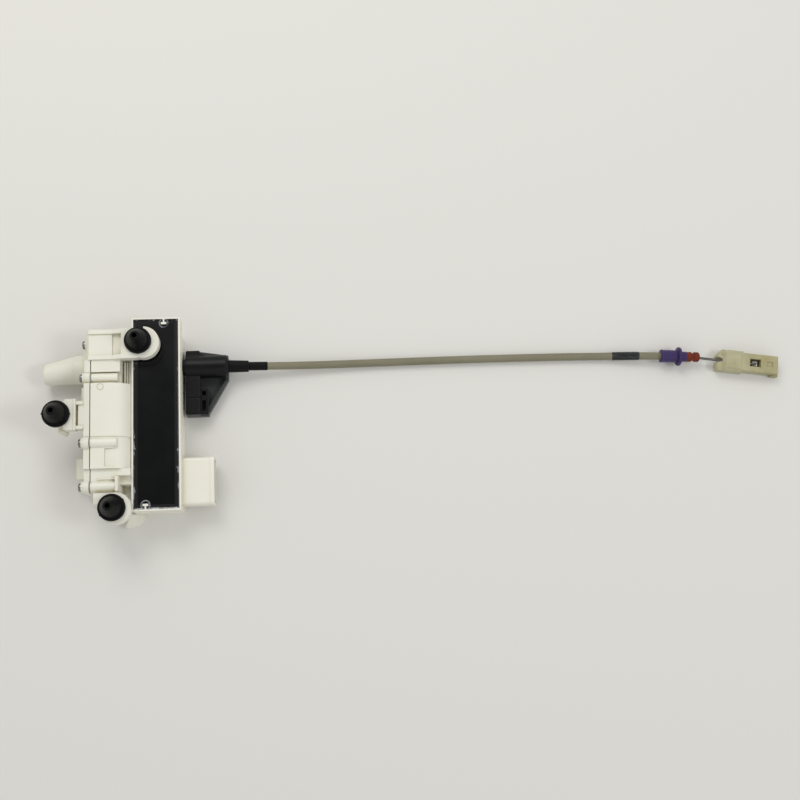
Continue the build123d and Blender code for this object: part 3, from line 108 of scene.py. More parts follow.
class FinishSettings(bpy.types.PropertyGroup):
    """Colours of the finishes."""

    housing_color: FloatVectorProperty(
        name="Housing", description="White moulded housing and lid", size=3,
        subtype="COLOR", default=(0.80, 0.785, 0.695))
    tray_color: FloatVectorProperty(
        name="Tray", description="White moulded electronics tray", size=3,
        subtype="COLOR", default=(0.82, 0.80, 0.715))
    lid_color: FloatVectorProperty(
        name="Lid", description="Slightly darker lid and its conical tube", size=3,
        subtype="COLOR", default=(0.76, 0.745, 0.655))
    rubber_color: FloatVectorProperty(
        name="Rubber", description="Black rubber of the plugs", size=3, subtype="COLOR",
        default=(0.0022, 0.0022, 0.0026))
    bracket_color: FloatVectorProperty(
        name="Bracket", description="Black moulded cable bracket", size=3,
        subtype="COLOR", default=(0.0040, 0.0043, 0.0046))
    potting_color: FloatVectorProperty(
        name="Potting", description="Black cast resin", size=3, subtype="COLOR",
        default=(0.0022, 0.0028, 0.0028))
    # pale colour of the painted highlights on the resin at the tray wall and round the
    # stakes
    painted_glint_color: FloatVectorProperty(
        name="Painted glints", description="Pale painted highlights on the resin at the tray wall", size=3,
        subtype="COLOR", default=(0.20, 0.21, 0.24))
    conduit_color: FloatVectorProperty(
        name="Conduit", description="Grey plastic of the cable conduit", size=3,
        subtype="COLOR", default=(0.208, 0.194, 0.132))
    purple_color: FloatVectorProperty(
        name="Ferrule", description="Purple moulded ferrule", size=3, subtype="COLOR",
        default=(0.037, 0.019, 0.102))
    seal_color: FloatVectorProperty(
        name="Wire seal", description="Red rubber seal", size=3, subtype="COLOR",
        default=(0.17, 0.029, 0.012))
    fitting_color: FloatVectorProperty(
        name="End fitting", description="Cream moulded end fitting", size=3,
        subtype="COLOR", default=(0.47, 0.445, 0.285))
    fitting_tail_color: FloatVectorProperty(
        name="Tail of the fitting", description="Thinner, yellower tail of the end fitting",
        size=3, subtype="COLOR", default=(0.43, 0.395, 0.225))


class CableSettings(bpy.types.PropertyGroup):
    """Sizes of the cable."""

    conduit_r: FloatProperty(
        name="Conduit radius", description="Outside radius of the conduit", unit="LENGTH",
        default=2.65 * MM)
    rib_pitch: FloatProperty(
        name="Rib pitch", description="Distance between the fine ribs", unit="LENGTH",
        default=1.25 * MM)
    rib_depth: FloatProperty(
        name="Rib depth", description="Depth of the grooves between ribs", unit="LENGTH",
        default=0.14 * MM)
    ring_sides: IntProperty(
        name="Sides", description="Sides of the round tube", default=20)


def settings():
    """The property groups of the scene."""
    scene = bpy.context.scene
    return scene.latch_stage, scene.latch_finish, scene.latch_cable


# ---- help with materials -----------------------------------------------------------------

WHITE = (1.0, 1.0, 1.0)
SHADE_REACH = 5.0 * MM  # recesses narrower than this get painted shade
# width of the painted highlight along edges
HIGHLIGHT_WIDTH = 0.5 * MM
PALE_TOP = 10.4 * MM  # what lies lower than this is coloured paler
SHADER_SAMPLES = 6
MIX_BASE, MIX_OVER, MIX_RESULT = 6, 7, 2  # colour sockets of the mix node


def new_material(name, roughness, metallic=0.0):
    """A node material, with its nodes, links and shader."""
    material = bpy.data.materials.new(name)
    material.use_nodes = True
    shader = material.node_tree.nodes["Principled BSDF"]
    shader.inputs["Roughness"].default_value = roughness
    shader.inputs["Metallic"].default_value = metallic
    return material, material.node_tree.nodes, material.node_tree.links, shader


def object_place(nodes, links, shift=(0, 0, 0), turn=0.0, stretch=(1, 1, 1)):
    """Object coordinates, stretched, turned about Z and shifted."""
    coordinates = nodes.new("ShaderNodeTexCoord")
    mapping = nodes.new("ShaderNodeMapping")
    mapping.inputs["Location"].default_value = shift
    mapping.inputs["Rotation"].default_value = (0, 0, turn)
    mapping.inputs["Scale"].default_value = stretch
    links.new(coordinates.outputs["Object"], mapping.inputs["Vector"])
    return mapping.outputs["Vector"]


def axis(nodes, links, vector, name):
    """One axis of a vector."""
    split = nodes.new("ShaderNodeSeparateXYZ")
    links.new(vector, split.inputs["Vector"])
    return split.outputs[name]


def remap(nodes, links, source, start, end, low=0.0, high=1.0):
    """A value taken from start..end to low..high, and held beyond both."""
    node = nodes.new("ShaderNodeMapRange")
    node.inputs["From Min"].default_value = start
    node.inputs["From Max"].default_value = end
    node.inputs["To Min"].default_value = low
    node.inputs["To Max"].default_value = high
    links.new(source, node.inputs["Value"])
    return node.outputs["Result"]


def added(nodes, links, first, second):
    """Sum of two values."""
    node = nodes.new("ShaderNodeMath")
    links.new(first, node.inputs[0])
    links.new(second, node.inputs[1])
    return node.outputs["Value"]


def noise(nodes, links, scale, detail=3.0, roughness=0.5, stretch=(1, 1, 1)):
    """Noise texture on object coordinates, scale in waves per metre."""
    texture = nodes.new("ShaderNodeTexNoise")
    texture.inputs["Scale"].default_value = scale
    texture.inputs["Detail"].default_value = detail
    texture.inputs["Roughness"].default_value = roughness
    place = object_place(nodes, links, stretch=stretch)
    links.new(place, texture.inputs["Vector"])
    return texture.outputs["Fac"]


def ramp(nodes, links, source, stops):
    """Colour ramp: stops are (place, colour)."""
    node = nodes.new("ShaderNodeValToRGB")
    elements = node.color_ramp.elements
    while len(elements) < len(stops):
        elements.new(0.5)
    for element, (place, color) in zip(elements, stops):
        element.position = place
        element.color = (*color, 1.0)
    links.new(source, node.inputs["Fac"])
    return node.outputs["Color"]


def rounded_normal(nodes, radius):
    """Surface direction with its edges rounded by a radius."""
    rounding = nodes.new("ShaderNodeBevel")
    rounding.samples = SHADER_SAMPLES
    rounding.inputs["Radius"].default_value = radius
    return rounding.outputs["Normal"]


def bump(nodes, links, shader, height, strength, distance, edge=0.0):
    """Bump as deep as distance, over edges that look rounded by edge."""
    node = nodes.new("ShaderNodeBump")
    node.inputs["Strength"].default_value = strength
    node.inputs["Distance"].default_value = distance
    links.new(height, node.inputs["Height"])
    if edge:
        links.new(rounded_normal(nodes, edge), node.inputs["Normal"])
    links.new(node.outputs["Normal"], shader.inputs["Normal"])


def multiplied(nodes, links, base, shade):
    """A base multiplied by a shade."""
    mix = nodes.new("ShaderNodeMix")
    mix.data_type = "RGBA"
    mix.blend_type = "MULTIPLY"
    mix.inputs["Factor"].default_value = 1.0
    links.new(base, mix.inputs[MIX_BASE])
    links.new(shade, mix.inputs[MIX_OVER])
    return mix.outputs[MIX_RESULT]


def blend_colors(nodes, links, base, color, mask):
    """A colour where a mask is 1, over a base."""
    mix = nodes.new("ShaderNodeMix")
    mix.data_type = "RGBA"
    links.new(mask, mix.inputs["Factor"])
    links.new(base, mix.inputs[MIX_BASE])
    mix.inputs[MIX_OVER].default_value = (*color, 1.0)
    return mix.outputs[MIX_RESULT]


def corners(nodes, links, base, tint, reach):
    """A colour darkened by a painted shade tint in corners and recesses narrower than
    reach.
    """
    hidden = nodes.new("ShaderNodeAmbientOcclusion")
    hidden.samples = SHADER_SAMPLES
    hidden.only_local = True
    hidden.inputs["Distance"].default_value = reach
    stops = [(0.15, tint), (0.85, WHITE)]
    shade = ramp(nodes, links, hidden.outputs["AO"], stops)
    return multiplied(nodes, links, base, shade)


def highlit_edges(nodes, links, base, color, width):
    """A base with a lighter colour painted along its edges as a highlight."""
    surface = nodes.new("ShaderNodeNewGeometry")
    turned = nodes.new("ShaderNodeVectorMath")
    turned.operation = "DOT_PRODUCT"
    links.new(rounded_normal(nodes, width), turned.inputs[0])
    links.new(surface.outputs["Normal"], turned.inputs[1])
    mask = remap(nodes, links, turned.outputs["Value"], 0.98, 0.80)
    return blend_colors(nodes, links, base, color, mask)


def tinted(color, factor, warm=0.0):
    """A colour made darker or lighter, and warmer where asked."""
    red, green, blue = color[:3]
    return (red * factor, green * factor, blue * factor * (1.0 - warm))


def uneven_gloss(nodes, links, shader, scale, low, high):
    """Roughness that wanders between two values."""
    gloss = remap(nodes, links, noise(nodes, links, scale, 2.0), 0.0, 1.0, low, high)
    links.new(gloss, shader.inputs["Roughness"])


def paler_below(nodes, links, base, color):
    """A base with a paler colour on what lies lower than a set height."""
    height = axis(nodes, links, object_place(nodes, links), "Z")
    mask = remap(nodes, links, height, PALE_TOP, PALE_TOP - 1.0 * MM)
    return blend_colors(nodes, links, base, color, mask)


def moulded_plastic(name, color, roughness=0.42, mottle=0.035, edge=0.0, corner_shade=None,
                    specular=0.5, edge_highlight=None, pale_tone=None):
    """Moulded plastic: slow flow clouds, fine spark texture and slightly uneven gloss."""
    material, nodes, links, shader = new_material(name, roughness)
    shader.inputs["Specular IOR Level"].default_value = specular
    clouds = noise(nodes, links, 55.0, 4.0)
    dark, light = tinted(color, 1.0 - mottle, 0.03), tinted(color, 1.0 + mottle)
    base = ramp(nodes, links, clouds, [(0.30, dark), (0.70, light)])
    # painted shade: a darker tint in corners and recesses
    if corner_shade:
        base = corners(nodes, links, base, corner_shade, SHADE_REACH)
    # a paler colour on what lies lower than a set height
    if pale_tone:
        base = paler_below(nodes, links, base, pale_tone)
    # painted highlight: a lighter colour along the edges
    if edge_highlight:
        base = highlit_edges(nodes, links, base, edge_highlight, HIGHLIGHT_WIDTH)
    links.new(base, shader.inputs["Base Color"])
    uneven_gloss(nodes, links, shader, 260.0, roughness - 0.06, roughness + 0.10)
    grain = noise(nodes, links, 1900.0, 2.0)
    bump(nodes, links, shader, grain, 0.35, 0.02 * MM, edge)
    return material


def white_plastic(name, color, roughness=0.40):
    """White moulded plastic, with warm painted shade in its corners, and soft edges."""
    return moulded_plastic(name, color, roughness, 0.02, 0.35 * MM, (0.80, 0.76, 0.64))


def moulded_rubber(name, color):
    """Moulded rubber: dull, with a faint bloom and fine grain."""
    material, nodes, links, shader = new_material(name, 0.50)
    bloom = noise(nodes, links, 120.0, 5.0, 0.6)
    stops = [(0.35, tinted(color, 0.8)), (0.60, color[:3]), (0.85, tinted(color, 2.1))]
    links.new(ramp(nodes, links, bloom, stops), shader.inputs["Base Color"])
    shader.inputs["Specular IOR Level"].default_value = 0.16
    grain = noise(nodes, links, 2600.0, 3.0)
    bump(nodes, links, shader, grain, 0.4, 0.03 * MM, 0.3 * MM)
    return material


def metal(name, color, roughness, streak=(1, 1, 1)):
    """Plain or plated metal with drawn streaks."""
    material, nodes, links, shader = new_material(name, roughness, 1.0)
    streaks = noise(nodes, links, 900.0, 3.0, 0.6, streak)
    stops = [(0.3, tinted(color, 0.82)), (0.7, color[:3])]
    links.new(ramp(nodes, links, streaks, stops), shader.inputs["Base Color"])
    bump(nodes, links, shader, streaks, 0.25, 0.01 * MM)
    return material


def potting_resin(name, color, low=0.16, high=0.30, specular=0.25, waves=45.0):
    """Cast resin: smooth and glossy, with slow waves and specks of dust."""
    material, nodes, links, shader = new_material(name, low)
    pale_tone = noise(nodes, links, 1500.0, 2.0)
    stops = [(0.0, color[:3]), (0.66, tinted(color, 1.15)), (0.80, tinted(color, 2.6))]
    links.new(ramp(nodes, links, pale_tone, stops), shader.inputs["Base Color"])
    uneven_gloss(nodes, links, shader, 70.0, low, high)
    shader.inputs["Specular IOR Level"].default_value = specular
    bump(nodes, links, shader, noise(nodes, links, waves, 2.0), 0.4, 0.12 * MM)
    return material


def clear_nylon(name, color, tail_color):
    """Natural nylon that lets a little light through, yellower in its thin tail."""
    material, nodes, links, shader = new_material(name, 0.36)
    low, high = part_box("end_fitting")
    length = high.x - low.x
    place = object_place(nodes, links, shift=(-low.x / length, 0, 0),
                         stretch=(1 / length, 1, 1))
    run = axis(nodes, links, place, "X")
    base = ramp(nodes, links, run, [(0.40, color[:3]), (0.62, tail_color[:3])])
    clouds = ramp(nodes, links, noise(nodes, links, 140.0, 4.0),
                  [(0.3, (0.82, 0.80, 0.72)), (0.7, WHITE)])
    base = multiplied(nodes, links, base, clouds)
    # painted shade: a warm darker tint in corners and recesses
    base = corners(nodes, links, base, (0.72, 0.68, 0.52), 4 * MM)
    links.new(base, shader.inputs["Base Color"])
    shader.inputs["Subsurface Weight"].default_value = 0.25
    shader.inputs["Subsurface Radius"].default_value = (1.0, 0.9, 0.55)
    shader.inputs["Subsurface Scale"].default_value = 1.2 * MM
    uneven_gloss(nodes, links, shader, 300.0, 0.30, 0.46)
    grain = noise(nodes, links, 420.0, 4.0)
    bump(nodes, links, shader, grain, 0.5, 0.12 * MM, 0.7 * MM)
    return material


# ---- help with pieces --------------------------------------------------------------------


def clear_selection():
    """Nothing selected, object mode."""
    if bpy.context.object and bpy.context.object.mode != "OBJECT":
        bpy.ops.object.mode_set(mode="OBJECT")
    bpy.ops.object.select_all(action="DESELECT")


def linked(name, data):
    """A new object of the scene."""
    piece = bpy.data.objects.new(name, data)
    bpy.context.scene.collection.objects.link(piece)
    return piece


def joined(pieces):
    """Pieces joined into the first of them."""
    clear_selection()
    for piece in pieces:
        piece.select_set(True)
    bpy.context.view_layer.objects.active = pieces[0]
    bpy.ops.object.join()
    return pieces[0]


def fixed_in_place():
    """Apply the active object's transform, so it sits at the origin."""
    bpy.ops.object.transform_apply(location=True, rotation=True, scale=True)


def pick(piece, kind, wanted):
    """In edit mode, select only the edges or polygons whose corners pass a test."""
    bpy.ops.mesh.select_all(action="DESELECT")
    bpy.ops.object.mode_set(mode="OBJECT")
    vertices = piece.data.vertices
    for element in getattr(piece.data, kind):
        element.select = wanted([vertices[k].co for k in element.vertices])
    bpy.ops.object.mode_set(mode="EDIT")


def extruded(forward, rise=0.0):
    """Pull the selection out by a step along X and Z."""
    bpy.ops.mesh.extrude_region_move(
        TRANSFORM_OT_translate={"value": (forward, 0, rise)})


def dress(material, *nodes):
    """Give CAD nodes one finish."""
    for node in nodes:
        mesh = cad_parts[node].data
        mesh.materials.clear()
        mesh.materials.append(material)


def settle(piece, name, material, body, slot, *nodes):
    """Name a finished piece, give it its finish and let it ride in place of CAD nodes."""
    piece.name = name
    piece.data.name = name
    piece.data.materials.clear()
    piece.data.materials.append(material)
    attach(piece, body)
    if nodes:
        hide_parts(*nodes)


# ---- stage -------------------------------------------------------------------------------

SENSOR_WIDTH = 36.0
NEAREST_SEEN = 0.05
LAMP_AIM = Vector((0.03, 0.0, 0.0))
WARM_LIGHT = (1.0, 0.985, 0.95)
COOL_LIGHT = (0.93, 0.97, 1.0)
SKY_COLOR = (1.0, 0.995, 0.98, 1.0)


class LATCH_OT_stage(bpy.types.Operator):
    """Camera, soft lamp, even sky and pale floor"""

    bl_idname = "latch.stage"
    bl_label = "Stage"

    def execute(self, context):
        stage, _, _ = settings()
        self.camera(stage)
        self.lamps(stage)
        self.floor(stage)
        return {"FINISHED"}

    def camera(self, stage):
        """Camera that looks down at the drive and its cable."""
        data = bpy.data.cameras.new("camera")
        data.lens = stage.lens
        data.sensor_width = SENSOR_WIDTH
        data.clip_start = NEAREST_SEEN
        camera = linked("camera", data)
        back = (Vector(stage.camera_at) - Vector(stage.camera_aim)).normalized()
        hint = Vector((math.sin(stage.camera_turn), math.cos(stage.camera_turn), 0.0))
        right = hint.cross(back).normalized()
        turn = Matrix((right, back.cross(right), back)).transposed()
        camera.matrix_world = Matrix.Translation(stage.camera_at) @ turn.to_4x4()
        bpy.context.scene.camera = camera

    def lamps(self, stage):
        """A large warm lamp, a cooler one at the side, and a sky darker overhead."""
        self.lamp("soft_lamp", stage.lamp_power, stage.lamp_size, stage.lamp_at,
                  WARM_LIGHT)
        self.lamp("side_lamp", stage.side_power, stage.side_size, stage.side_at,
                  COOL_LIGHT)
        world = bpy.data.worlds.new("sky")
        world.use_nodes = True
        nodes, links = world.node_tree.nodes, world.node_tree.links
        background = nodes["Background"]
        background.inputs["Color"].default_value = SKY_COLOR
        coordinates = nodes.new("ShaderNodeTexCoord")
        height = axis(nodes, links, coordinates.outputs["Generated"], "Z")
        steps = [(0.0, stage.sky_low), (0.45, stage.sky_middle),
                 (0.80, stage.sky_middle), (0.96, stage.sky_high)]
        strength = ramp(nodes, links, height,
                        [(place, (value, value, value)) for place, value in steps])
        links.new(strength, background.inputs["Strength"])
        bpy.context.scene.world = world

    def lamp(self, name, power, size, place, color):
        """Square soft lamp that faces the drive."""
        data = bpy.data.lights.new(name, "AREA")
        data.energy = power
        data.shape = "SQUARE"
        data.size = size
        data.color = color
        lamp = linked(name, data)
        lamp.location = place
        ray = LAMP_AIM - Vector(place)
        lamp.rotation_euler = ray.to_track_quat("-Z", "Y").to_euler()

    def floor(self, stage):
        """Pale matt floor, its colour painted lighter towards the lamp, a painted pool of
        light.
        """
        clear_selection()
        bpy.ops.mesh.primitive_plane_add(size=stage.floor_size, location=(0, 0, 0))
        floor = bpy.context.object
        floor.name = "floor"
        material, nodes, links, shader = new_material("floor_paper", 0.85)
        shader.inputs["Specular IOR Level"].default_value = 0.15
        gradient = nodes.new("ShaderNodeTexGradient")
        place = object_place(nodes, links, shift=(0.5, 0.0, 0.0), turn=math.radians(-80))
        links.new(place, gradient.inputs["Vector"])
        color = stage.floor_color
        # painted pool of light: the colour rises towards the lamp
        stops = [(0.0, tinted(color, 0.95)), (1.0, tinted(color, 1.02))]
        base = ramp(nodes, links, gradient.outputs["Fac"], stops)
        links.new(base, shader.inputs["Base Color"])
        bump(nodes, links, shader, noise(nodes, links, 700.0, 4.0), 0.15, 0.08 * MM)
        floor.data.materials.append(material)


# ---- cable -------------------------------------------------------------------------------

# control points of the cable's centre line
ROUTE = (
    (0.0570, 0.0375, 0.010085),
    (0.0820, 0.0375, 0.007678),
    (0.1150, 0.0379, 0.0044),
    (0.1580, 0.0387, 0.00275),
    (0.2150, 0.0394, 0.00266),
    (0.2750, 0.0395, 0.00266),
    (0.3220, 0.0389, 0.00275),
    (0.3470, 0.0381, 0.0052),
    (0.366285, 0.036824, 0.0066),
)
WIRE_TURN = math.radians(-8.0)  # the free wire's direction, about Z from X
WIRE_R = 0.90 * MM
WIRE_STRANDS = 6
WIRE_LAY = 7.5 * MM
STRAND_GROOVE = 0.16
SLEEVE_R = 2.90 * MM
BAND_R = 2.86 * MM
BAND_UNEVEN = 0.05 * MM
TURNED_IN = 0.25 * MM  # how far the ends of sleeve and band draw in
CLIP_LENGTH = 6.6 * MM
CLIP_FOOT = (0.9 * MM, 3.7 * MM)
CLIP_BASE_Z = 4.2 * MM
CLIP_SHEET = 0.4 * MM
# the leaf's bends, each forward and up, in millimetres
CLIP_STEPS = ((0.5, 1.5), (0.7, 0.75), (1.6, 0.25), (1.5, -0.1), (0.8, -0.6), (0.4, -1.3))


def cable_line():
    """Centre line of the cable: points of the route's own smooth spline, evenly close."""
    curve = bpy.data.curves.new("cable_route", "CURVE")
    curve.dimensions = "3D"
    curve.resolution_u = 64
    spline = curve.splines.new("NURBS")
    spline.points.add(len(ROUTE) - 1)
    for point, place in zip(spline.points, ROUTE):
        point.co = (*place, 1.0)
    spline.order_u = 3
    spline.use_endpoint_u = True
    carrier = linked("cable_route", curve)
    bpy.context.view_layer.update()
    mesh = bpy.data.meshes.new_from_object(carrier)
    line = [vertex.co.copy() for vertex in mesh.vertices]
    bpy.data.objects.remove(carrier)
    bpy.data.meshes.remove(mesh)
    return line


def along(line, places):
    """Points and directions of a line at given distances from its start."""
    found = []
    travelled = 0.0
    index = 0
    for place in places:
        step = (line[index + 1] - line[index]).length
        while travelled + step < place and index < len(line) - 2:
            travelled += step
            index += 1
            step = (line[index + 1] - line[index]).length
        share = (place - travelled) / step
        found.append((line[index].lerp(line[index + 1], share),
                      (line[index + 1] - line[index]).normalized()))
    return found


def tube_along(name, stations, sides, strands=0, lay=0.0):
    """Closed tube with flat ends: stations are (point, direction, radius).

    With strands, its skin follows that many wires, which turn once in a length of lay.
    """
    vertices = []
    faces = []
    travelled = 0.0
    last = stations[0][0]
    for point, direction, radius in stations:
        travelled += (point - last).length
        last = point
        twist = 2 * math.pi * travelled / lay if lay else 0.0
        side = Vector((0, 1, 0)).cross(direction).normalized()
        over = direction.cross(side)
        for k in range(sides):
            angle = 2 * math.pi * k / sides
            reach = radius
            if strands:
                crest = abs(math.sin(strands * (angle - twist) / 2))
                reach *= 1.0 - STRAND_GROOVE * (1.0 - crest)
            outward = math.cos(angle) * side + math.sin(angle) * over
            vertices.append(point + reach * outward)
    for ring in range(len(stations) - 1):
        for k in range(sides):
            first = ring * sides + k
            second = ring * sides + (k + 1) % sides
            faces.append((first, second, second + sides, first + sides))
    faces.append(tuple(reversed(range(sides))))
    faces.append(tuple(range(len(vertices) - sides, len(vertices))))
    mesh = bpy.data.meshes.new(name)
    mesh.from_pydata([tuple(v) for v in vertices], [], faces)
    piece = linked(name, mesh)
    clear_selection()
    bpy.context.view_layer.objects.active = piece
    piece.select_set(True)
    bpy.ops.object.mode_set(mode="EDIT")
    bpy.ops.mesh.select_all(action="SELECT")
    bpy.ops.mesh.normals_make_consistent(inside=False)
    bpy.ops.object.mode_set(mode="OBJECT")
    bpy.ops.object.shade_smooth_by_angle(angle=math.radians(40))
    return piece


class LATCH_OT_cable(bpy.types.Operator):
    """Ribbed conduit with its sleeve and band, the free wire and the spring clip"""

    bl_idname = "latch.cable"
    bl_label = "Cable"

    def execute(self, context):
        _, finish, cable = settings()
        line = cable_line()
        length = sum((b - a).length for a, b in zip(line, line[1:]))
        rubber = moulded_rubber("sleeve_rubber", finish.rubber_color)
        conduit = self.conduit(line, length, cable)
        plastic = self.conduit_plastic(finish.conduit_color)
        settle(conduit, "conduit", plastic, "housing", "conduit_plastic", "cable_conduit")
        low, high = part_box("conduit_sleeve")
        sleeve = self.cover(line, "sleeve", low.x, high.x, SLEEVE_R)
        settle(sleeve, "sleeve", rubber, "housing", "black_rubber", "conduit_sleeve")
        low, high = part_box("conduit_band")
        band = self.cover(line, "band", low.x, high.x, BAND_R, BAND_UNEVEN)
        tape = self.tape(tinted(finish.bracket_color, 3.0))
        settle(band, "band", tape, "housing", "band_plastic", "conduit_band")
        wire = self.wire()
        steel = metal("wire_steel", (0.17, 0.162, 0.145), 0.42)
        settle(wire, "twisted_wire", steel, "wire", "steel", "pull_wire")
        clip = self.clip()
        spring = metal("clip_steel", (0.40, 0.40, 0.37), 0.36)
        settle(clip, "spring_clip", spring, "wire", "zinc_steel", "end_clip")
        return {"FINISHED"}

    def conduit(self, line, length, cable):
        """Tube with fine crosswise ribs."""
        steps_per_rib = 4
        count = int(length / cable.rib_pitch) * steps_per_rib
        places = [length * k / count for k in range(count + 1)]
        stations = []
        for place, (point, direction) in zip(places, along(line, places)):
            wave = 0.5 - 0.5 * math.cos(2 * math.pi * place / cable.rib_pitch)
            radius = cable.conduit_r - cable.rib_depth * wave
            stations.append((point, direction, radius))
        return tube_along("conduit", stations, cable.ring_sides)

    def cover(self, line, name, x0, x1, radius, uneven=0.0):
        """Tube over the conduit between two stations, with turned-in ends."""
        start = self.distance(line, x0)
        end = self.distance(line, x1)
        steps = 24
        places = [start + (end - start) * k / steps for k in range(steps + 1)]
        stations = []
        for k, (point, direction) in enumerate(along(line, places)):
            edge = TURNED_IN if k in (0, steps) else 0.0
            wave = uneven * math.sin(2.1 * k) * math.cos(0.7 * k)
            stations.append((point, direction, radius - edge + wave))
        return tube_along(name, stations, 28)

    def clip(self):
        """Bent leaf of spring steel in the window of the end fitting."""
        low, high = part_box("end_clip")
        back = -CLIP_LENGTH / 2
        foot = CLIP_FOOT[0]
        clear_selection()
        bpy.ops.mesh.primitive_plane_add(
            size=1.0, location=(back + foot / 2, 0, CLIP_BASE_Z))
        piece = bpy.context.object
        piece.scale = (*CLIP_FOOT, 1)
        fixed_in_place()
        bpy.ops.object.mode_set(mode="EDIT")
        bpy.ops.mesh.select_mode(type="EDGE")
        pick(piece, "edges", lambda ends: all(p.x > back + 0.9 * foot for p in ends))
        for forward, rise in CLIP_STEPS:
            extruded(forward * MM, rise * MM)
        bpy.ops.object.mode_set(mode="OBJECT")
        sheet = piece.modifiers.new("sheet", "SOLIDIFY")
        sheet.thickness = CLIP_SHEET
        bpy.ops.object.modifier_apply(modifier=sheet.name)
        rounding = piece.modifiers.new("rounding", "BEVEL")
        rounding.width = 0.3 * CLIP_SHEET
        rounding.segments = 2
        rounding.limit_method = "ANGLE"
        bpy.ops.object.modifier_apply(modifier=rounding.name)
        bpy.ops.object.shade_smooth_by_angle(angle=math.radians(50))
        middle = ((low.x + high.x) / 2, (low.y + high.y) / 2, 0)
        turn = Matrix.Rotation(WIRE_TURN, 4, "Z")
        piece.data.transform(Matrix.Translation(middle) @ turn)
        return piece

    def wire(self):
        """Twisted wire between the seal and the end fitting."""
        points = [vertex.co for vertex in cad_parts["pull_wire"].data.vertices]
        direction = Vector((math.cos(WIRE_TURN), math.sin(WIRE_TURN), 0))
        reach = [point.dot(direction) for point in points]
        middle = sum(points, Vector()) / len(points)
        middle -= middle.dot(direction) * direction
        length = max(reach) - min(reach)
        count = int(length / (0.35 * MM))
        places = [min(reach) + length * k / count for k in range(count + 1)]
        stations = [(middle + place * direction, direction, WIRE_R) for place in places]
        return tube_along("twisted_wire", stations, 36, WIRE_STRANDS, WIRE_LAY)

    def distance(self, line, x):
        """Distance along the line at which it passes a station."""
        travelled = 0.0
        for a, b in zip(line, line[1:]):
            if b.x >= x:
                return travelled + (x - a.x) / (b.x - a.x) * (b - a).length
            travelled += (b - a).length
        return travelled

    def tape(self, color):
        """Wound black tape, creased, its raised creases painted lighter as glints along the
        cable.
        """
        material, nodes, links, shader = new_material("band_tape", 0.42)
        creases_and_glints = noise(nodes, links, 420.0, 4.0, 0.6, (0.35, 1, 1))
        # painted highlight: lighter where the creases stand high
        stops = [(0.35, tinted(color, 0.45)), (0.52, color[:3]),
                 (0.70, tinted(color, 3.6))]
        links.new(ramp(nodes, links, creases_and_glints, stops), shader.inputs["Base Color"])
        shader.inputs["Specular IOR Level"].default_value = 0.35
        bump(nodes, links, shader, creases_and_glints, 0.6, 0.12 * MM)
        return material

    def conduit_plastic(self, color):
        """Extruded grey plastic with faint clouds drawn out along its length and a fine
        grain.
        """
        material, nodes, links, shader = new_material("conduit_plastic", 0.5)
        shader.inputs["Specular IOR Level"].default_value = 0.35
        clouds = noise(nodes, links, 90.0, 4.0, 0.6, (0.4, 1, 1))
        stops = [(0.3, tinted(color, 0.90, 0.04)), (0.7, tinted(color, 1.08))]
        links.new(ramp(nodes, links, clouds, stops), shader.inputs["Base Color"])
        bump(nodes, links, shader, noise(nodes, links, 2200.0, 3.0), 0.3, 0.03 * MM)
        return material


# ---- lid screws --------------------------------------------------------------------------

# (y, z) of the lid screws, upper row first
SCREW_PLACES = (
    (0.0514, 0.0224), (0.0275, 0.0304), (-0.0152, 0.0332), (-0.0432, 0.0316),
    (0.0542, 0.0045), (0.0188, 0.0045), (-0.0140, 0.0052), (-0.0421, 0.0066),
)
SCREW_TWIST = math.radians(37)  # from each screw to the next
HEAD_ROUND = 0.75 * MM
SOCKET_RIM = 0.55 * MM
SOCKET_LIP = 0.02 * MM
SOCKET_DEPTH = 1.0 * MM
THREAD_IN = 1.45 * MM  # from the head's edge in to the thread
THREAD_LENGTH = 17.0 * MM
STAR_POINTS = 6
STAR_INWARD = 0.72


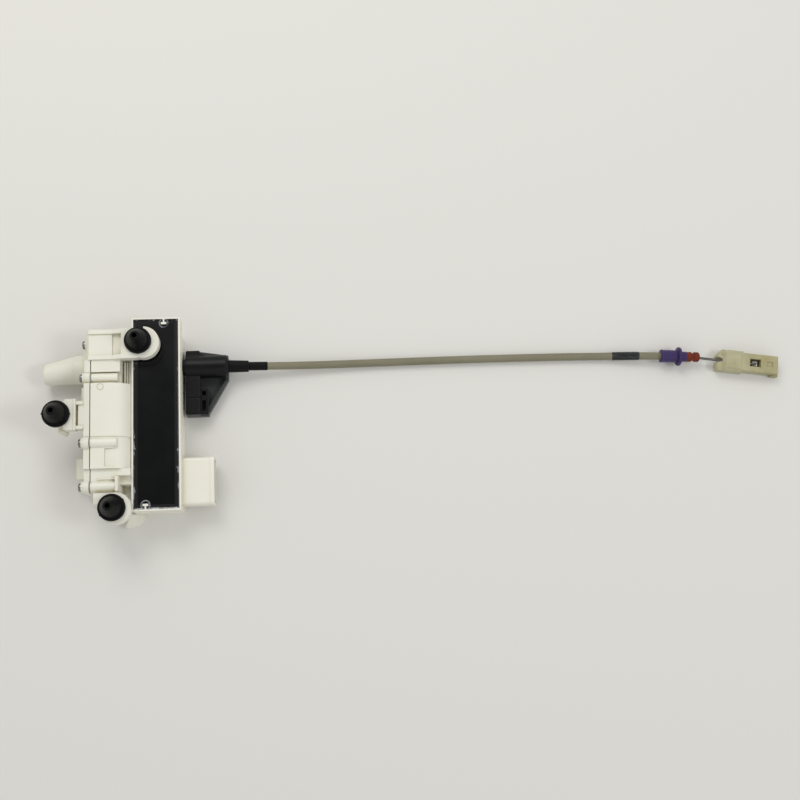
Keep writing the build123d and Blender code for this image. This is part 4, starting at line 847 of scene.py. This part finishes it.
class LATCH_OT_screws(bpy.types.Operator):
    """Eight lid screws with rounded heads and star sockets"""

    bl_idname = "latch.screws"
    bl_label = "Lid screws"

    seat_x: FloatProperty(
        name="Seat", description="Where the heads sit on the lid", unit="LENGTH",
        default=-0.0306)
    head_r: FloatProperty(
        name="Head radius", description="Radius of the head", unit="LENGTH",
        default=2.7 * MM)
    head_h: FloatProperty(
        name="Head height", description="Height of the head", unit="LENGTH",
        default=1.9 * MM)

    def execute(self, context):
        first = self.screw()
        screws = [first]
        for turn, (y, z) in enumerate(SCREW_PLACES[1:], 1):
            other = first.copy()
            other.data = first.data.copy()
            context.scene.collection.objects.link(other)
            twist = Matrix.Rotation(SCREW_TWIST * turn, 4, "X")
            other.data.transform(Matrix.Translation((0, y, z)) @ twist)
            screws.append(other)
        first.data.transform(Matrix.Translation((0, *SCREW_PLACES[0])))
        plate = metal("screw_zinc", (0.25, 0.25, 0.245), 0.30)
        settle(joined(screws), "lid_screws_dressed", plate, "housing", "zinc_steel",
               "lid_screws")
        return {"FINISHED"}

    def screw(self):
        """One screw on the X axis, its head towards -X."""
        clear_selection()
        bpy.ops.mesh.primitive_cylinder_add(
            vertices=24, radius=self.head_r, depth=self.head_h,
            location=(self.seat_x - self.head_h / 2, 0, 0),
            rotation=(0, math.radians(90), 0))
        piece = bpy.context.object
        fixed_in_place()
        top = self.seat_x - self.head_h
        bpy.ops.object.mode_set(mode="EDIT")
        bpy.ops.mesh.select_mode(type="EDGE")
        pick(piece, "edges", lambda ends: all(abs(p.x - top) < ON_PLANE for p in ends))
        bpy.ops.mesh.bevel(offset=HEAD_ROUND, segments=4, affect="EDGES")
        bpy.ops.mesh.select_mode(type="FACE")
        pick(piece, "polygons",
             lambda ends: all(abs(p.x - top) < ON_PLANE for p in ends))
        bpy.ops.mesh.inset(thickness=SOCKET_RIM)
        bpy.ops.mesh.inset(thickness=SOCKET_LIP)
        extruded(SOCKET_DEPTH)
        pick(piece, "polygons",
             lambda ends: all(abs(p.x - self.seat_x) < ON_PLANE for p in ends))
        bpy.ops.mesh.inset(thickness=THREAD_IN)
        extruded(THREAD_LENGTH)
        self.star(piece, top)
        bpy.ops.object.mode_set(mode="OBJECT")
        bpy.ops.object.shade_smooth_by_angle(angle=math.radians(35))
        return piece

    def star(self, piece, top):
        """Pull every fourth corner of the socket inwards, so it has six points."""
        socket_r = self.head_r - HEAD_ROUND - SOCKET_RIM + SOCKET_LIP
        bpy.ops.mesh.select_all(action="DESELECT")
        bpy.ops.mesh.select_mode(type="VERT")
        bpy.ops.object.mode_set(mode="OBJECT")
        for vertex in piece.data.vertices:
            deep = vertex.co.x - top
            inside = (-ON_PLANE < deep < SOCKET_DEPTH + ON_PLANE
                      and math.hypot(vertex.co.y, vertex.co.z) < socket_r)
            turn = math.atan2(vertex.co.z, vertex.co.y) / (2 * math.pi) * STAR_POINTS
            vertex.select = inside and abs(turn - round(turn)) < 0.05
        bpy.ops.object.mode_set(mode="EDIT")
        bpy.ops.transform.resize(
            value=(1, STAR_INWARD, STAR_INWARD), center_override=(top, 0, 0))
        bpy.ops.mesh.select_mode(type="FACE")


# ---- potting -----------------------------------------------------------------------------

# inside of the tray, top of its resin and the stakes that stand in it
TRAY_X = (0.0007, 0.0298)
TRAY_Y = (-0.0580, 0.0668)
POTTING_Z = 0.0265
STAKES = ((0.0204, 0.0640), (0.0084, -0.0552))
BEAD_R = 0.40 * MM
BEAD_RING_R = 2.8 * MM
LONG_EDGE = 10.0 * MM  # longer edges run along the walls
LENGTH_CUTS = 70
WIDTH_CUTS = 9


class LATCH_OT_potting(bpy.types.Operator):
    """Resin that has crept up the tray walls and round the two stakes"""

    bl_idname = "latch.potting"
    bl_label = "Potting edge"

    creep: FloatProperty(
        name="Creep", description="How high the resin stands at the wall", unit="LENGTH",
        default=0.46 * MM)
    width: FloatProperty(
        name="Width", description="How far from the wall the resin begins to rise",
        unit="LENGTH", default=2.8 * MM)

    def execute(self, context):
        _, finish, _ = settings()
        rim = self.rim()
        resin = self.crept_resin("potting_edge", finish, 0.66)
        settle(rim, "potting_edge", resin, "housing", "potting")
        beads = joined([self.ring(*place) for place in STAKES])
        bpy.ops.object.shade_smooth_by_angle(angle=math.radians(50))
        resin = self.crept_resin("stake_resin", finish, 0.50)
        settle(beads, "stake_beads", resin, "housing", "potting")
        return {"FINISHED"}

    def crept_resin(self, name, finish, glint_level):
        """Glossy resin with pale painted highlights in streaks, more of them high up and at
        the socket.

        Painted highlights show where the streaks' noise, with what place adds to it, is
        above the glint level.
        """
        material = potting_resin(name, finish.potting_color, 0.06, 0.16, 1.0, 420.0)
        nodes, links = material.node_tree.nodes, material.node_tree.links
        shader = nodes["Principled BSDF"]
        base = shader.inputs["Base Color"].links[0].from_socket
        place = object_place(nodes, links)
        near = remap(nodes, links, axis(nodes, links, place, "Y"), 0.0, -30 * MM, 0.0, 0.09)
        height = axis(nodes, links, place, "Z")
        high = remap(nodes, links, height, POTTING_Z + 0.02 * MM, POTTING_Z + 0.10 * MM,
                     -0.12, 0.07)
        streaks = noise(nodes, links, 380.0, 3.0, 0.6, (1, 0.45, 1))
        total = added(nodes, links, added(nodes, links, streaks, near), high)
        mask = remap(nodes, links, total, glint_level, glint_level + 0.08)
        # painted highlights: pale streaks where the mask is set
        pale = blend_colors(nodes, links, base, finish.painted_glint_color[:3], mask)
        links.new(pale, shader.inputs["Base Color"])
        return material

    def rim(self):
        """Frame of resin that rises to the tray wall, uneven along its run."""
        clear_selection()
        middle = (sum(TRAY_X) / 2, sum(TRAY_Y) / 2, POTTING_Z + 0.01 * MM)
        bpy.ops.mesh.primitive_plane_add(size=1.0, location=middle)
        piece = bpy.context.object
        piece.scale = (TRAY_X[1] - TRAY_X[0], TRAY_Y[1] - TRAY_Y[0], 1)
        fixed_in_place()
        bpy.ops.object.mode_set(mode="EDIT")
        bpy.ops.mesh.inset(thickness=self.width)
        bpy.ops.mesh.delete(type="ONLY_FACE")
        bpy.ops.mesh.select_mode(type="EDGE")
        pick(piece, "edges", lambda ends: (ends[0] - ends[1]).length > LONG_EDGE)
        bpy.ops.mesh.subdivide(number_cuts=LENGTH_CUTS)
        pick(piece, "edges", self.crosses)
        bpy.ops.mesh.subdivide(number_cuts=WIDTH_CUTS)
        pick(piece, "edges", lambda ends: all(self.at_wall(place) for place in ends))
        for reach in (self.width, self.width / 3):
            bpy.ops.transform.translate(
                value=(0, 0, self.creep / 2), use_proportional_edit=True,
                proportional_edit_falloff="SHARP", proportional_size=reach)
        bpy.ops.object.mode_set(mode="OBJECT")
        for vertex in piece.data.vertices:
            rise = vertex.co.z - POTTING_Z
            if rise > 0.05 * MM:
                run = vertex.co.x * 900 + vertex.co.y * 700
                wave = math.sin(run) + 0.6 * math.sin(2.7 * run + 1.3)
                wave += 0.5 * math.sin(6.1 * run)
                vertex.co.z = POTTING_Z + rise * (0.80 + 0.09 * wave)
        bpy.ops.object.shade_smooth_by_angle(angle=math.radians(50))
        return piece

    def at_wall(self, place):
        """Whether a place lies on the tray wall."""
        return (min(abs(place.x - x) for x in TRAY_X) < ON_PLANE
                or min(abs(place.y - y) for y in TRAY_Y) < ON_PLANE)

    def crosses(self, ends):
        """Whether a short edge runs from the wall to the middle."""
        return (2.0 * MM < (ends[0] - ends[1]).length < LONG_EDGE
                and self.at_wall(ends[0]) != self.at_wall(ends[1]))

    def ring(self, x, y):
        """Low round bead about a stake."""
        clear_selection()
        bpy.ops.mesh.primitive_torus_add(
            major_segments=40, minor_segments=10, major_radius=BEAD_RING_R,
            minor_radius=BEAD_R, location=(x, y, POTTING_Z + 0.02 * MM))
        piece = bpy.context.object
        fixed_in_place()
        bpy.ops.object.mode_set(mode="EDIT")
        bpy.ops.mesh.select_all(action="SELECT")
        bpy.ops.transform.vertex_random(
            offset=0.06 * MM, uniform=0.6, seed=int(x * 1e4))
        bpy.ops.object.mode_set(mode="OBJECT")
        return piece


# ---- finishes of the CAD nodes -----------------------------------------------------------


class LATCH_OT_finishes(bpy.types.Operator):
    """Finishes of all nodes that keep their CAD shape"""

    bl_idname = "latch.finishes"
    bl_label = "Finishes"

    def execute(self, context):
        _, finish, _ = settings()
        dress(white_plastic("housing_plastic", finish.housing_color), "gear_housing")
        dress(white_plastic("lid_plastic", finish.lid_color, 0.44), "housing_lid")
        dress(white_plastic("tray_plastic", finish.tray_color), "electronics_tray")
        dress(moulded_rubber("plug_rubber", finish.rubber_color), "mount_plug_top",
              "mount_plug_left", "mount_plug_bottom", "strain_relief")
        dress(moulded_rubber("gasket_rubber", (0.27, 0.26, 0.235)), "lid_gasket")
        # painted highlight along the bracket's edges
        bracket = moulded_plastic("bracket_plastic", finish.bracket_color, 0.36, 0.12,
                                  0.3 * MM, specular=0.20, edge_highlight=(0.042, 0.045, 0.048),
                                  # the bracket's low parts are coloured paler
                                  pale_tone=(0.045, 0.047, 0.048))
        dress(bracket, "cable_bracket", "motor_end_cap", "board_relays")
        dress(potting_resin("potting_resin", finish.potting_color), "potting_fill")
        # painted highlight along the ferrule's edges
        purple = moulded_plastic("ferrule_plastic", finish.purple_color, 0.36, 0.08,
                                 0.3 * MM, specular=0.35,
                                 edge_highlight=tinted(finish.purple_color, 1.7))
        dress(purple, "cable_ferrule")
        dress(moulded_rubber("seal_rubber", finish.seal_color), "wire_seal")
        dress(clear_nylon("fitting_nylon", finish.fitting_color, finish.fitting_tail_color),
              "end_fitting")
        dress(metal("zinc_plate", (0.55, 0.55, 0.53), 0.32), "motor_can", "connector_pins",
              "cable_nipple")
        dress(metal("bright_steel", (0.52, 0.51, 0.49), 0.28, (1, 1, 6)), "core_stub",
              "motor_shaft", "armature", "worm", "lead_screw")
        dress(metal("sintered_bronze", (0.55, 0.36, 0.18), 0.45), "motor_bushes",
              "wheel_bushes")
        dress(metal("copper", (0.72, 0.36, 0.22), 0.35), "commutator", "motor_brushes")
        dress(metal("magnet_ferrite", (0.09, 0.09, 0.10), 0.55), "motor_magnets")
        natural = moulded_plastic("gear_plastic", (0.75, 0.74, 0.66), 0.35)
        dress(natural, "worm_wheel", "screw_crosshead")
        dress(moulded_plastic("board_laminate", (0.02, 0.13, 0.045), 0.35), "circuit_board")
        return {"FINISHED"}


# ---- add-on ------------------------------------------------------------------------------

OPERATORS = (LATCH_OT_stage, LATCH_OT_cable, LATCH_OT_screws, LATCH_OT_potting,
             LATCH_OT_finishes)


class LATCH_PT_panel(bpy.types.Panel):
    """Steps that dress the drive"""

    bl_label = "Latch drive"
    bl_idname = "LATCH_PT_panel"
    bl_space_type = "VIEW_3D"
    bl_region_type = "UI"
    bl_category = "Latch drive"

    def draw(self, context):
        for step in OPERATORS:
            self.layout.operator(step.bl_idname)


GROUPS = (StageSettings, FinishSettings, CableSettings)


def register():
    for group in GROUPS + OPERATORS + (LATCH_PT_panel,):
        bpy.utils.register_class(group)
    bpy.types.Scene.latch_stage = PointerProperty(type=StageSettings)
    bpy.types.Scene.latch_finish = PointerProperty(type=FinishSettings)
    bpy.types.Scene.latch_cable = PointerProperty(type=CableSettings)


def unregister():
    del bpy.types.Scene.latch_cable
    del bpy.types.Scene.latch_finish
    del bpy.types.Scene.latch_stage
    for group in reversed(GROUPS + OPERATORS + (LATCH_PT_panel,)):
        bpy.utils.unregister_class(group)


def main():
    """Register the steps and run them in order."""
    register()
    bpy.context.scene.view_settings.view_transform = "Standard"
    bpy.ops.latch.stage()
    bpy.ops.latch.cable()
    bpy.ops.latch.screws()
    bpy.ops.latch.potting()
    bpy.ops.latch.finishes()


if __name__ == "__main__":
    main()
